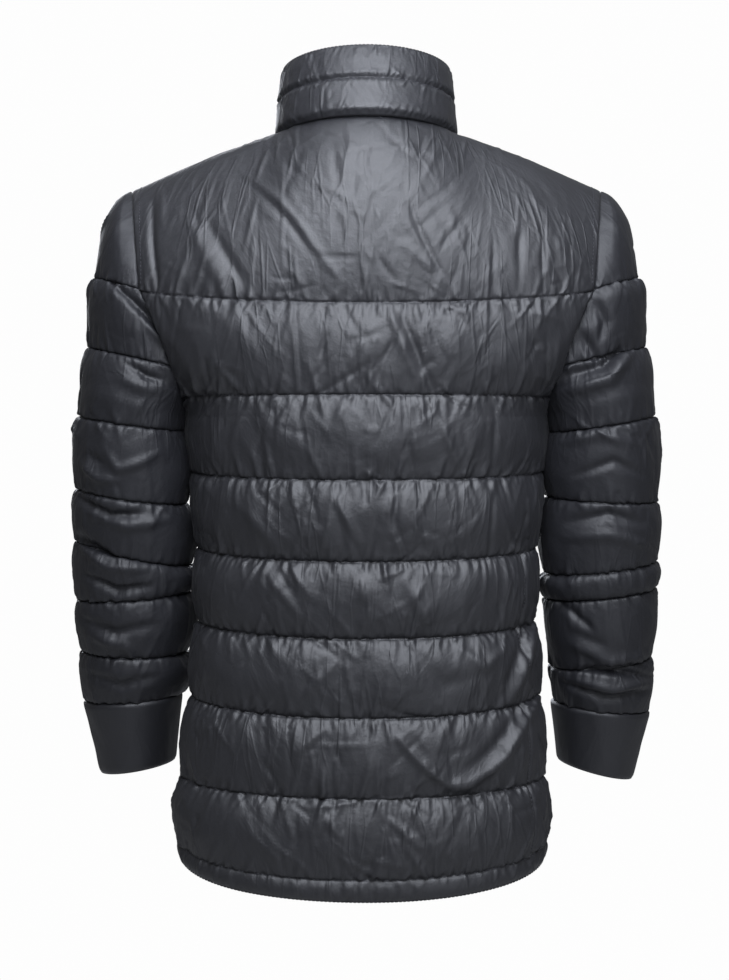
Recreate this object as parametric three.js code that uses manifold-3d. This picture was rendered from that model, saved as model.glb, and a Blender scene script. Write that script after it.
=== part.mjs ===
// Quilted puffer jacket, filled out as if worn. Millimetres, +Z up, the back faces +Y and the
// wearer's left is +X. The origin lies between the shoulders, level with the foot of the collar.
import * as THREE from "three";
import Module from "manifold-3d";
import { mergeVertices } from "three/addons/utils/BufferGeometryUtils.js";

const wasm = await Module();
wasm.setup();

// Cloth and quilting
const SEAM_GAP = 0.3;
const SEAM_WALL = 3;
const BODY_CROWN = 16;
const SIDE_CROWN = 11;
const PRESSED_CROWN = 7;
const SLEEVE_CROWN = 11;
const CUFF_WALL = 3;
const COLLAR_WALL = 4;
const BACK = 1;
const FRONT = -1;

// Neck and shoulder seams, on the inner face of the wall
const NECK_SHARE = 0.5;
const NECK_SIDE = { x: 79, y: -4, z: -9 };
const NECK_BACK = { x: 0, y: 83, z: 4 };
const NECK_FRONT = { x: 8, y: -76, z: -64 };
const SHOULDER_TIP = { x: 225, y: -16, z: -63 };
const SHOULDER_BOW = 3;
const FRONT_EDGE = 8;

// Stitched lines round the body, from the shoulder blades to the hem
const BODY_LINES = [
  { name: "line_1", sideZ: -156, centreZ: -169, halfWidth: 212, sideY: 0, back: 117, front: 110, sway: 0 },
  { name: "line_2", sideZ: -254, centreZ: -253, halfWidth: 172, sideY: 0, back: 120, front: 121, sway: 0 },
  { name: "line_3", sideZ: -328, centreZ: -331, halfWidth: 166, sideY: 14, back: 118, front: 125, sway: 0 },
  { name: "line_4", sideZ: -400, centreZ: -406, halfWidth: 159, sideY: 22, back: 113, front: 123, sway: 0 },
  { name: "line_5", sideZ: -470, centreZ: -477, halfWidth: 157, sideY: 26, back: 109, front: 121, sway: 1 },
  { name: "line_6", sideZ: -540, centreZ: -550, halfWidth: 162, sideY: 30, back: 110, front: 121, sway: 2 },
  { name: "line_7", sideZ: -617, centreZ: -623, halfWidth: 170, sideY: 32, back: 114, front: 124, sway: 4 },
  { name: "hem_line", sideZ: -680, centreZ: -697, halfWidth: 173, sideY: 32, back: 116, front: 124, sway: 4 },
  { name: "hem_edge", sideZ: -696, centreZ: -717, halfWidth: 170, sideY: 32, back: 114, front: 122, sway: 4 },
];
const HEM_LINE = BODY_LINES.length - 2;

// Armhole below line 1, where back, front and sleeve meet; the last row is the underarm point
const ARMHOLE = [
  { z: -156, x: 212, back: 64, front: -60 },
  { z: -169, x: 204, back: 66, front: -62 },
  { z: -198, x: 189, back: 64, front: -62 },
  { z: -228, x: 178, back: 56, front: -54 },
  { z: -241, x: 175, back: 48, front: -46 },
  { z: -254, x: 172, back: 36, front: -34 },
  { z: -272, x: 168, back: 6, front: 6 },
];
const YOKE_ROWS = 6;
const ARMHOLE_ROWS = YOKE_ROWS + ARMHOLE.length - 1;

// Sleeve lines from the underarm to the cuff: heights at the body side and the far side, then the ring
const SLEEVE_LINES = [
  { name: "underarm", left: [-272, -248], right: [-272, -248], x: 226, y: 2, wide: 43, deep: 60 },
  { name: "line_3", left: [-288, -275], right: [-290, -275], x: 228, y: 0, wide: 46, deep: 59 },
  { name: "line_4", left: [-360, -345], right: [-353, -358], x: 229, y: -7, wide: 47, deep: 57 },
  { name: "line_5", left: [-420, -396], right: [-428, -416], x: 228, y: -17, wide: 49, deep: 54 },
  { name: "line_6", left: [-446, -454], right: [-453, -442], x: 229, y: -23, wide: 48, deep: 52 },
  { name: "line_7", left: [-507, -505], right: [-521, -511], x: 230, y: -35, wide: 44, deep: 50 },
  { name: "cuff_line", left: [-548, -556], right: [-556, -566], x: 232, y: -47, wide: 40, deep: 46 },
  { name: "cuff_edge", left: [-618, -630], right: [-618, -636], x: 228, y: -61, wide: 35, deep: 41 },
];
const CUFF_LINE = SLEEVE_LINES.length - 2;
const CAP_WIDTH = 45;
const CAP_RISE = 13;
const CAP_DROP = 8;
const SLEEVE_LINE_1 = YOKE_ROWS;
const SLEEVE_LINE_2 = YOKE_ROWS + 3;

// Grid of the walls
const BODY_COLUMNS = 24;
const SLEEVE_COLUMNS = 20;
const CHANNEL_STEPS = [0.14, 0.5, 0.86];

// Stand collar, by the turn from the back to the front
const COLLAR_TOP = { back: 73, side: 57, front: 36 };
const COLLAR_RADIUS = { side: 79, back: 74, front: 73 };
const COLLAR_STITCH = 0.62;
const COLLAR_ROWS = [
  { up: 0, wall: COLLAR_WALL },
  { up: 0.15, wall: 12 },
  { up: 0.34, wall: 11 },
  { up: COLLAR_STITCH - 0.06, wall: 8 },
  { up: COLLAR_STITCH, wall: 5 },
  { up: COLLAR_STITCH + 0.08, wall: 8 },
  { up: 0.88, wall: 7 },
  { up: 1, wall: COLLAR_WALL },
];

// Large soft folds on the back, each along a straight run on the wall
const BACK_FOLDS = [
  { from: [-172, -480], to: [-128, -562], width: 22, height: 6 },
  { from: [-165, -570], to: [-92, -620], width: 20, height: 5 },
  { from: [205, -62], to: [200, -150], width: 18, height: 4 },
  { from: [150, -110], to: [60, -165], width: 22, height: 3 },
  { from: [-60, -60], to: [-150, -165], width: 24, height: 3 },
];

// Front zip
const TAPE = { inner: 3.2, outer: 14, thick: 1, behind: 0.4 };
const TEETH = { inner: 0.2, outer: 2.9, thick: 3 };
const SLIDER = { width: 9, height: 14, plate: 1.8, clearance: 0.4, bridge: 3 };
const LUG = { width: 1.4, inside: 2.1, reach: 4.2, height: 4 };
const PIN_RADIUS = 0.7;
const TAB = { width: 3.4, length: 27, thick: 1.4, hole: 1.05, eye: 2 };

const CLOTH = new THREE.MeshStandardMaterial({ color: 0x3c3d42, roughness: 0.42, metalness: 0 });
const TAPE_CLOTH = new THREE.MeshStandardMaterial({ color: 0x26272a, roughness: 0.8, metalness: 0 });
const METAL = new THREE.MeshStandardMaterial({ color: 0x2f3033, roughness: 0.3, metalness: 0.9 });

// Small helpers
const vec = (x, y, z) => new THREE.Vector3(x, y, z);
const { lerp, clamp } = THREE.MathUtils;
const at = (place) => vec(place.x, place.y, place.z);
const times = (vector, scale) => vector.clone().multiplyScalar(scale);
const plus = (a, b) => a.clone().add(b);
const minus = (a, b) => a.clone().sub(b);

/** Value of a column of a table whose key column falls from row to row. */
function lookUp(table, key, value, column) {
  const last = table.length - 1;
  let row = 0;
  while (row < last - 1 && value < table[row + 1][key]) row += 1;
  const share = clamp((value - table[row][key]) / (table[row + 1][key] - table[row][key]), 0, 1);
  return lerp(table[row][column], table[row + 1][column], share);
}

/** Share of full thickness between two stitched lines, steep beside each line and fullest low down. */
function puff(share) {
  const sagged = Math.pow(share, 0.88);
  return 1 - Math.pow(Math.abs(2 * sagged - 1), 2.6);
}

// Rows of the body panels: the yoke from the shoulder down, then each channel
function bodyRows() {
  const rows = [];
  for (let i = 0; i < YOKE_ROWS; i += 1) rows.push({ yoke: i / YOKE_ROWS, inner: true, seam: i === 0 });
  for (let line = 0; line < BODY_LINES.length - 1; line += 1) {
    const top = BODY_LINES[line];
    const foot = BODY_LINES[line + 1];
    const span = foot.sideZ - top.sideZ;
    let shares = CHANNEL_STEPS;
    if (line === 0) shares = ARMHOLE.slice(1, -2).map((row) => (row.z - top.sideZ) / span);
    if (line === 1) shares = [(ARMHOLE[6].z - top.sideZ) / span, 0.55, 0.86];
    if (line === HEM_LINE) shares = [0.3, 0.7];
    rows.push({ line, share: 0, inner: true, seam: true });
    const besideArmhole = (index) => line === 0 || (line === 1 && index === 0);
    shares.forEach((share, index) => rows.push({ line, share, inner: besideArmhole(index) }));
  }
  rows.push({ line: BODY_LINES.length - 2, share: 1, inner: true, seam: true });
  return rows;
}

/** Edge of a body panel at a height: the armhole, then the side seam. */
function panelEdge(face, z) {
  const underarm = ARMHOLE[ARMHOLE.length - 1];
  if (z >= underarm.z) {
    const y = lookUp(ARMHOLE, "z", z, face === BACK ? "back" : "front");
    return { x: lookUp(ARMHOLE, "z", z, "x"), y };
  }
  const share = clamp((underarm.z - z) / (underarm.z - BODY_LINES[2].sideZ), 0, 1);
  const below = lookUp(BODY_LINES, "sideZ", z, "halfWidth");
  const y = lookUp(BODY_LINES, "sideZ", Math.min(z, BODY_LINES[2].sideZ), "sideY");
  return { x: lerp(underarm.x, below, share), y: lerp(underarm.back, y, share) };
}

/** Point of a body panel between two stitched lines; across runs from -1 to 1 over the back. */
function channelPoint(face, across, line, share) {
  const top = BODY_LINES[line];
  const foot = BODY_LINES[line + 1];
  const reach = Math.abs(across);
  const sideZ = lerp(top.sideZ, foot.sideZ, share);
  const centreZ = lerp(top.centreZ, foot.centreZ, share);
  const edge = panelEdge(face, sideZ);
  const depth = face * lerp(top[face === BACK ? "back" : "front"], foot[face === BACK ? "back" : "front"], share);
  const turn = THREE.MathUtils.degToRad(clamp(lerp(62, 78, (-156 - sideZ) / 120), 62, 78));
  const wide = Math.sin(reach * turn) / Math.sin(turn);
  const round = Math.max(0, (Math.cos(reach * turn) - Math.cos(turn)) / (1 - Math.cos(turn)));
  const middle = face === FRONT ? FRONT_EDGE : 0;
  const sway = lerp(top.sway, foot.sway, share) * Math.min(1, reach * 2);
  const x = Math.sign(across) * (middle + (edge.x - middle) * wide) + sway;
  const z = lerp(sideZ, centreZ, 1 - reach * reach);
  return vec(x, edge.y + (depth - edge.y) * Math.pow(round, 0.85), z);
}

/** Top edge of a body panel: half the neck, then the shoulder seam. */
function topEdge(face, across) {
  const reach = Math.abs(across);
  const side = Math.sign(across);
  if (reach >= NECK_SHARE) {
    const share = (reach - NECK_SHARE) / (1 - NECK_SHARE);
    const point = at(NECK_SIDE).lerp(at(SHOULDER_TIP), share);
    return vec(side * point.x, point.y, point.z + SHOULDER_BOW * Math.sin(Math.PI * share));
  }
  const centre = face === BACK ? NECK_BACK : NECK_FRONT;
  const turn = (reach / NECK_SHARE) * (Math.PI / 2);
  const x = centre.x + (NECK_SIDE.x - centre.x) * Math.sin(turn);
  const fall = Math.cos(turn);
  const z = lerp(NECK_SIDE.z, centre.z, face === BACK ? fall : Math.pow(fall, 1.4));
  return vec(side * x, lerp(NECK_SIDE.y, centre.y, fall), z);
}

/** Point of the yoke, above the first stitched line; down is 0 at the top edge and 1 at that line. */
function yokePoint(face, across, down) {
  const foot = channelPoint(face, across, 0, 0);
  const top = topEdge(face, across);
  const reach = Math.abs(across);
  const shoulder = clamp(reach / NECK_SHARE, 0, 1);
  const over = vec(0, face, face === BACK ? lerp(-1.2, 0.3, shoulder) : lerp(-0.9, -0.3, shoulder));
  const swing = times(over, 0.5 * Math.abs(foot.y - top.y));
  const rise = vec(0.3 * (top.x - foot.x), 0, 0.55 * (top.z - foot.z));
  const curve = new THREE.CubicBezierCurve3(top, plus(top, swing), plus(foot, rise), foot);
  return curve.getPoint(down);
}

function bodyPoint(face, across, row) {
  if (row.yoke !== undefined) return yokePoint(face, across, row.yoke);
  return channelPoint(face, across, row.line, row.share);
}

// Directions across the wall where pieces meet, shared by the pieces on both sides of a seam
function armholeNormal(side, point) {
  const up = clamp((point.z + 165) / 100, -1, 1);
  const y = (point.y - 2) / 62;
  const low = clamp(-up, 0, 1);
  return vec(side * (0.3 + 0.45 * low), y, up).normalize();
}

function neckNormal(face, across) {
  const turn = (Math.min(Math.abs(across), NECK_SHARE) / NECK_SHARE) * (Math.PI / 2);
  const side = Math.sign(across);
  return vec(side * Math.sin(turn), face * Math.cos(turn), 0.5 + 0.3 * Math.sin(turn)).normalize();
}

function shoulderNormal(side) {
  return vec(side * 0.35, 0, 0.93).normalize();
}

/** Direction across the wall in a grid of points, from the neighbours of one of them. */
function gridNormal(grid, i, j, outward) {
  const columns = grid[0].length - 1;
  const along = minus(grid[Math.min(i + 1, grid.length - 1)][j], grid[Math.max(i - 1, 0)][j]);
  const wrap = grid[i][0].distanceTo(grid[i][columns]) < 1e-6;
  const before = wrap && j === 0 ? columns - 1 : Math.max(j - 1, 0);
  const after = wrap && j === columns ? 1 : Math.min(j + 1, columns);
  const normal = along.cross(minus(grid[i][after], grid[i][before])).normalize();
  return normal.dot(outward) < 0 ? normal.negate() : normal;
}

/** Closed mesh from triangles given as corner points; corners that coincide are merged. */
function closedMesh(name, triangles, material) {
  const numbers = new Map();
  const positions = [];
  const numberOf = (point) => {
    const key = point.toArray().map((value) => Math.round(value * 1000)).join(" ");
    if (!numbers.has(key)) {
      numbers.set(key, numbers.size);
      positions.push(point.x, point.y, point.z);
    }
    return numbers.get(key);
  };
  const index = [];
  let volume = 0;
  for (const [a, b, c] of triangles) {
    const corners = [numberOf(a), numberOf(b), numberOf(c)];
    if (new Set(corners).size < 3) continue;
    index.push(...corners);
    volume += a.dot(b.clone().cross(c));
  }
  if (volume < 0) index.reverse();
  const geometry = new THREE.BufferGeometry();
  geometry.setAttribute("position", new THREE.Float32BufferAttribute(positions, 3));
  geometry.setIndex(index);
  geometry.computeVertexNormals();
  const mesh = new THREE.Mesh(geometry, material);
  mesh.name = name;
  return mesh;
}

/**
 * Wall between an outer and an inner grid of points. The inner grid uses only the rows in innerRows.
 * Rows from tubeFrom on are rings, so they have no side edges.
 */
function wall(name, outer, inner, innerRows, material, tubeFrom = Infinity) {
  const triangles = [];
  const quad = (a, b, c, d) => triangles.push([a, b, c], [a, c, d]);
  const last = outer.length - 1;
  const columns = outer[0].length - 1;
  for (let j = 0; j < columns; j += 1) {
    for (let i = 0; i < last; i += 1) {
      quad(outer[i][j], outer[i + 1][j], outer[i + 1][j + 1], outer[i][j + 1]);
    }
    for (let k = 0; k < innerRows.length - 1; k += 1) {
      const [i, n] = [innerRows[k], innerRows[k + 1]];
      quad(inner[i][j], inner[i][j + 1], inner[n][j + 1], inner[n][j]);
    }
    quad(outer[0][j], outer[0][j + 1], inner[0][j + 1], inner[0][j]);
    quad(outer[last][j], inner[last][j], inner[last][j + 1], outer[last][j + 1]);
  }
  for (let k = 0; k < innerRows.length - 1; k += 1) {
    const [start, end] = [innerRows[k], innerRows[k + 1]];
    if (start >= tubeFrom) continue;
    for (let i = start; i < end; i += 1) {
      triangles.push([inner[start][0], outer[i + 1][0], outer[i][0]]);
      triangles.push([inner[start][columns], outer[i][columns], outer[i + 1][columns]]);
    }
    triangles.push([inner[start][0], inner[end][0], outer[end][0]]);
    triangles.push([inner[start][columns], outer[end][columns], inner[end][columns]]);
  }
  return closedMesh(name, triangles, material);
}

/** Point moved towards another by a distance, for the gap at a seam. */
function drawnIn(point, towards, distance) {
  const step = minus(towards, point);
  return step.length() < 1e-6 ? point.clone() : plus(point, step.setLength(distance));
}

/** Height of the large folds at a place on the back. */
function foldHeight(point) {
  let height = 0;
  for (const fold of BACK_FOLDS) {
    const from = new THREE.Vector2(...fold.from);
    const run = new THREE.Vector2(...fold.to).sub(from);
    const place = new THREE.Vector2(point.x, point.z).sub(from);
    const share = clamp(place.dot(run) / run.lengthSq(), 0, 1);
    const away = place.sub(run.multiplyScalar(share)).length() / fold.width;
    height += fold.height * Math.exp(-away * away) * Math.sin(Math.PI * clamp(share * 0.8 + 0.1, 0, 1));
  }
  return height;
}

/** Uneven fullness along a channel, a few waves of unlike length. */
function waves(across, line) {
  return Math.sin(9.3 * across + 1.9 * line) * 0.6 + Math.sin(21.7 * across - 2.3 * line) * 0.4;
}

/** Thickness of a body panel's wall. */
function bodyThickness(face, across, row, point) {
  const reach = Math.abs(across);
  if (row.seam) return SEAM_WALL;
  const pressed = clamp(1 - Math.abs(point.z + 350) / 110, 0, 1) * Math.pow(reach, 6);
  const side = lerp(BODY_CROWN, SIDE_CROWN, Math.pow(reach, 4));
  const crown = lerp(side, PRESSED_CROWN, pressed) + waves(across, row.line ?? 0);
  if (row.yoke !== undefined) {
    const fullness = Math.min(1, 1.9 * Math.sin(Math.PI * Math.pow(row.yoke, 1.15)));
    return SEAM_WALL + (crown - SEAM_WALL - 3) * fullness + foldHeight(point) * Math.max(0, face);
  }
  const hem = row.line === HEM_LINE ? 0.45 : 1;
  const raised = SEAM_WALL + (crown - SEAM_WALL) * puff(row.share) * hem;
  return raised + (face === BACK ? foldHeight(point) * puff(row.share) : 0);
}

/** Back or front panel from across start to across end. */
function bodyPanel(name, face, start, end, columns) {
  const rows = bodyRows();
  const isSide = (across) => Math.abs(across) > 1 - 1e-6;
  const acrossAt = (j) => lerp(start, end, j / columns);
  const signed = (across) => (across === 0 ? 1e-9 * Math.sign(start + end || 1) : across);
  const grid = rows.map((row) => {
    return Array.from({ length: columns + 1 }, (_, j) => bodyPoint(face, signed(acrossAt(j)), row));
  });
  const normalAt = (i, j) => {
    const across = signed(acrossAt(j));
    const side = Math.sign(across);
    if (isSide(across) && i <= ARMHOLE_ROWS) return armholeNormal(side, grid[i][j]);
    if (isSide(across)) return vec(side, 0, 0);
    if (i === 0 && Math.abs(across) > NECK_SHARE + 1e-6) return shoulderNormal(side);
    if (i === 0) return neckNormal(face, across);
    return gridNormal(grid, i, j, vec(side * Math.abs(across), face, 0.4));
  };
  const inner = grid.map((points, i) => points.map((point, j) => {
    let moved = point;
    if (i === 0) moved = drawnIn(moved, grid[1][j], SEAM_GAP / 2);
    if (isSide(acrossAt(j))) moved = drawnIn(moved, points[j === 0 ? 1 : columns - 1], SEAM_GAP / 2);
    return moved;
  }));
  const outer = inner.map((points, i) => points.map((point, j) => {
    const across = acrossAt(j);
    const edge = isSide(across) ? 0 : Math.min(1, 0.6 + (1 - Math.abs(across)) * columns * 0.1);
    const full = bodyThickness(face, across, rows[i], grid[i][j]);
    const beside = i <= ARMHOLE_ROWS || isSide(across) ? edge : 1;
    return plus(point, times(normalAt(i, j), SEAM_WALL + (full - SEAM_WALL) * beside));
  }));
  const innerRows = rows.map((row, i) => (row.inner ? i : -1)).filter((i) => i >= 0);
  return wall(name, outer, inner, innerRows, CLOTH);
}

// Sleeve rows: the cap follows the armhole's points, then rings down to the cuff
function sleeveRows() {
  const rows = [];
  for (let i = 0; i <= ARMHOLE_ROWS; i += 1) rows.push({ cap: i, inner: true });
  rows.push({ line: 1, share: 0, inner: true, seam: true });
  for (let line = 1; line < CUFF_LINE; line += 1) {
    CHANNEL_STEPS.forEach((share) => rows.push({ line, share, inner: false }));
    rows.push({ line: line + 1, share: 0, inner: true, seam: true });
  }
  return rows;
}

/** Points where the armhole's row meets the back and the front, on the wall's inner face. */
function armholePair(cap) {
  if (cap <= YOKE_ROWS) {
    const down = cap / YOKE_ROWS;
    return [yokePoint(BACK, 1, down), yokePoint(FRONT, 1, down)];
  }
  const row = ARMHOLE[cap - YOKE_ROWS];
  return [vec(row.x, row.back, row.z), vec(row.x, row.front, row.z)];
}

/** Ring of a sleeve at a line and a share of the way to the next. */
function sleeveRing(side, line, share) {
  const top = SLEEVE_LINES[line];
  const foot = SLEEVE_LINES[Math.min(line + 1, SLEEVE_LINES.length - 1)];
  const key = side > 0 ? "left" : "right";
  const mix = (column) => lerp(top[column], foot[column], share);
  const height = (end) => lerp(top[key][end], foot[key][end], share);
  return { x: mix("x"), y: mix("y"), wide: mix("wide"), deep: mix("deep"), near: height(0), far: height(1) };
}

/** Point on a ring; turn is 0 at the body side, a quarter at the back and a half at the far side. */
function ringPoint(ring, turn) {
  const angle = turn * 2 * Math.PI;
  const out = (1 - Math.cos(angle)) / 2;
  const x = ring.x - ring.wide * Math.cos(angle);
  return vec(x, ring.y + ring.deep * Math.sin(angle), lerp(ring.near, ring.far, out));
}

/** Point of the sleeve's cap, on an arc from the back of the armhole to the front. */
function capPoint(side, cap, share) {
  const [back, front] = armholePair(cap);
  const upper = clamp(cap / YOKE_ROWS, 0, 1);
  const lower = clamp((cap - YOKE_ROWS) / (ARMHOLE_ROWS - YOKE_ROWS), 0, 1);
  const underarm = sleeveRing(side, 0, 0);
  const capReach = Math.max(back.x, lower > 0 ? ARMHOLE[0].x : 0) + CAP_WIDTH * Math.pow(upper, 0.85);
  const reach = lerp(capReach, underarm.x + underarm.wide, lower);
  const centre = lerp(back.x, underarm.x, Math.sqrt(lower));
  const wide = reach - centre;
  const start = Math.acos(clamp((centre - back.x) / wide, 0, 1)) / (2 * Math.PI);
  const deep = lerp((back.y - front.y) / 2, underarm.deep, Math.sqrt(lower));
  const middle = lerp((back.y + front.y) / 2, underarm.y, lower);
  const far = back.z - CAP_DROP * Math.sin(Math.PI * upper) + CAP_RISE * (upper * upper + 0.85 * lower);
  const turn = lerp(start, 1 - start, share);
  const point = ringPoint({ x: centre, y: middle, wide, deep, near: back.z, far }, turn);
  const first = ringPoint({ x: centre, y: middle, wide, deep, near: back.z, far }, start);
  const last = ringPoint({ x: centre, y: middle, wide, deep, near: back.z, far }, 1 - start);
  const fade = lerp(5, 14, lower);
  point.add(times(minus(back, first), Math.pow(1 - share, fade)));
  point.add(times(minus(front, last), Math.pow(share, fade)));
  return point;
}

/** Point of a sleeve's inner face on the wearer's left; the right sleeve mirrors it. */
function sleevePoint(side, row, share) {
  if (row.cap === 0) return plus(armholePair(0)[0], vec(SEAM_GAP, 0, 0));
  if (row.cap === ARMHOLE_ROWS && (share === 0 || share === 1)) {
    return plus(armholePair(row.cap)[0], vec(SEAM_GAP, 0, SEAM_GAP / 3));
  }
  if (row.cap !== undefined) return capPoint(side, row.cap, share);
  return ringPoint(sleeveRing(side, row.line, row.share), share);
}

/** Thickness of a sleeve's wall. */
function sleeveThickness(row, share) {
  const edge = Math.min(share, 1 - share);
  const nearBody = clamp(1 - edge / 0.16, 0, 1);
  const ripple = Math.sin(2 * Math.PI * 3 * share + 1.7 * (row.line ?? 0)) * 0.7;
  const crown = lerp(SLEEVE_CROWN, PRESSED_CROWN - 2, nearBody) + ripple;
  if (row.seam) return SEAM_WALL;
  if (row.cap === undefined) return SEAM_WALL + (crown - SEAM_WALL) * puff(row.share);
  const bounds = [0, SLEEVE_LINE_1, SLEEVE_LINE_2, ARMHOLE_ROWS + 1];
  const next = bounds.findIndex((bound) => bound > row.cap);
  const within = (row.cap - bounds[next - 1]) / (bounds[next] - bounds[next - 1]);
  const beside = clamp(edge / 0.12, 0, 1);
  return SEAM_WALL + (crown - SEAM_WALL) * puff(within) * beside;
}

function mirrored(side, point) {
  return vec(side * point.x, point.y, point.z);
}

/** Direction across the wall where a sleeve meets its cuff. */
function cuffSeamNormal(side, point) {
  const ring = sleeveRing(side, CUFF_LINE, 0);
  return vec(point.x - ring.x, point.y - ring.y, 0).normalize();
}

function sleeve(name, side) {
  const rows = sleeveRows();
  const last = rows.length - 1;
  const shareAt = (j) => j / SLEEVE_COLUMNS;
  const grid = rows.map((row) => {
    return Array.from({ length: SLEEVE_COLUMNS + 1 }, (_, j) => sleevePoint(side, row, shareAt(j)));
  });
  const edgeAt = (i, j) => i > 0 && i < ARMHOLE_ROWS && (j === 0 || j === SLEEVE_COLUMNS);
  const inner = grid.map((points, i) => points.map((point, j) => {
    if (edgeAt(i, j)) return drawnIn(point, points[j === 0 ? 1 : j - 1], SEAM_GAP);
    if (i === last) return drawnIn(point, grid[i - 1][j], SEAM_GAP / 2);
    return point;
  }));
  const outer = inner.map((points, i) => points.map((point, j) => {
    const share = shareAt(j);
    const onSeam = edgeAt(i, j) || i === 0 || (i === ARMHOLE_ROWS && (j === 0 || j === SLEEVE_COLUMNS));
    const centre = vec(rows[i].cap !== undefined ? 190 : 231, i > ARMHOLE_ROWS ? point.y * 0.5 - 15 : 0, point.z);
    let normal = gridNormal(grid, i, j, minus(point, centre));
    if (onSeam) normal = armholeNormal(1, grid[i][j]);
    if (i === last) normal = cuffSeamNormal(side, grid[i][j]);
    return plus(point, times(normal, onSeam ? SEAM_WALL : sleeveThickness(rows[i], share)));
  }));
  const flip = (points) => points.map((point) => mirrored(side, point));
  const innerRows = rows.map((row, i) => (row.inner ? i : -1)).filter((i) => i >= 0);
  return wall(name, outer.map(flip), inner.map(flip), innerRows, CLOTH, ARMHOLE_ROWS);
}

function cuff(name, side) {
  const shares = [0, 0.5, 1];
  const grid = shares.map((share) => Array.from({ length: SLEEVE_COLUMNS + 1 }, (_, j) => {
    return ringPoint(sleeveRing(side, CUFF_LINE, share), j / SLEEVE_COLUMNS);
  }));
  const inner = grid.map((points, i) => points.map((point, j) => {
    return i === 0 ? drawnIn(point, grid[1][j], SEAM_GAP / 2) : point;
  }));
  const outer = inner.map((points, i) => points.map((point, j) => {
    const centre = sleeveRing(side, CUFF_LINE, shares[i]);
    const outward = vec(point.x - centre.x, point.y - centre.y, 0);
    const normal = i === 0 ? cuffSeamNormal(side, grid[0][j]) : gridNormal(grid, i, j, outward);
    return plus(point, times(normal, CUFF_WALL));
  }));
  const flip = (points) => points.map((point) => mirrored(side, point));
  return wall(name, outer.map(flip), inner.map(flip), [0, 1, 2], CLOTH);
}

// Collar: columns run from the left front edge round the back to the right front edge
const COLLAR_COLUMNS = BODY_COLUMNS;

function collarPlace(column) {
  const quarter = COLLAR_COLUMNS / 4;
  const side = column < COLLAR_COLUMNS / 2 ? 1 : -1;
  const steps = side > 0 ? column : COLLAR_COLUMNS - column;
  const face = steps < quarter ? FRONT : BACK;
  const share = face === FRONT ? steps / quarter : (2 * quarter - steps) / quarter;
  return { face, across: side * NECK_SHARE * share };
}

function collarTop(face, across) {
  const turn = (Math.abs(across) / NECK_SHARE) * (Math.PI / 2);
  const centre = face === FRONT ? FRONT_EDGE : 0;
  const x = centre + (COLLAR_RADIUS.side - centre) * Math.sin(turn);
  const radius = face === BACK ? COLLAR_RADIUS.back : COLLAR_RADIUS.front;
  const level = face === BACK ? COLLAR_TOP.back : COLLAR_TOP.front;
  const height = lerp(COLLAR_TOP.side, level, Math.cos(turn));
  return vec(Math.sign(across) * x, face * radius * Math.cos(turn), height);
}

function collarPoint(column, up) {
  const { face, across } = collarPlace(column);
  const side = column === COLLAR_COLUMNS / 2 ? 1e-9 : across || (column === 0 ? 1e-9 : -1e-9);
  const foot = topEdge(face, side);
  const point = foot.clone().lerp(collarTop(face, side), up);
  const swell = face === BACK ? 3 : 1;
  return plus(point, times(vec(0, face, 0), swell * Math.sin(Math.PI * up) * Math.abs(Math.cos(across * Math.PI))));
}

function collar() {
  const place = (j) => collarPlace(j);
  const grid = COLLAR_ROWS.map((row) => {
    return Array.from({ length: COLLAR_COLUMNS + 1 }, (_, j) => collarPoint(j, row.up));
  });
  const inner = grid.map((points, i) => points.map((point, j) => {
    return i === 0 ? drawnIn(point, grid[1][j], SEAM_GAP / 2) : point;
  }));
  const outer = inner.map((points, i) => points.map((point, j) => {
    const { face, across } = place(j);
    const seamNormal = neckNormal(face, across || (j === 0 ? 1e-9 : -1e-9));
    const normal = i === 0 ? seamNormal : gridNormal(grid, i, j, vec(point.x, point.y, 0));
    const toBack = 1 - Math.abs(2 * j / COLLAR_COLUMNS - 1);
    const endShare = 0.1 + 0.9 * clamp((toBack - 0.36) / 0.34, 0, 1);
    const full = COLLAR_ROWS[i].wall;
    const thick = i === 0 ? SEAM_WALL : COLLAR_WALL + (full - COLLAR_WALL) * endShare;
    return plus(point, times(normal, thick));
  }));
  return wall("collar", outer, inner, [0, 2, 4, 7], CLOTH);
}

// Front line of the zip, up the front edge and the collar
function zipLine(column) {
  const across = column / (BODY_COLUMNS / 2) || 1e-9;
  const line = bodyRows().map((row) => bodyPoint(FRONT, across, row)).reverse();
  const collarFront = COLLAR_ROWS.slice(1, -1).map((row) => collarPoint(column, row.up));
  return [...line, ...collarFront];
}

/** Strip along the zip line between two distances from the centre, from a face inwards. */
function zipStrip(name, side, size, behind, material) {
  const line = zipLine(0);
  const beside = zipLine(1);
  const lift = (i) => {
    const along = minus(line[Math.min(i + 1, line.length - 1)], line[Math.max(i - 1, 0)]);
    return vec(0, -along.z, along.y).normalize();
  };
  const strip = (depth) => line.map((point, i) => [size.inner, size.outer].map((x) => {
    const share = Math.max(0, x - FRONT_EDGE) / (beside[i].x - FRONT_EDGE);
    const moved = plus(point.clone().lerp(beside[i], share), times(lift(i), -depth));
    return vec(side * x, moved.y, moved.z);
  }));
  const outer = strip(behind);
  const inner = strip(behind + size.thick);
  return wall(name, outer, inner, line.map((_, i) => i), material);
}

// Slider and pull, at the top of the zip
const ZIP_TOP = zipLine(0).pop();
const TEETH_BEHIND = TAPE.behind + TAPE.thick / 2 - TEETH.thick / 2;

function solidFrom(geometry) {
  const bare = geometry.clone();
  bare.deleteAttribute("normal");
  bare.deleteAttribute("uv");
  const merged = mergeVertices(bare, 1e-4);
  const vertProperties = new Float32Array(merged.attributes.position.array);
  const triVerts = new Uint32Array(merged.index.array);
  return new wasm.Manifold(new wasm.Mesh({ numProp: 3, vertProperties, triVerts }));
}

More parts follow.
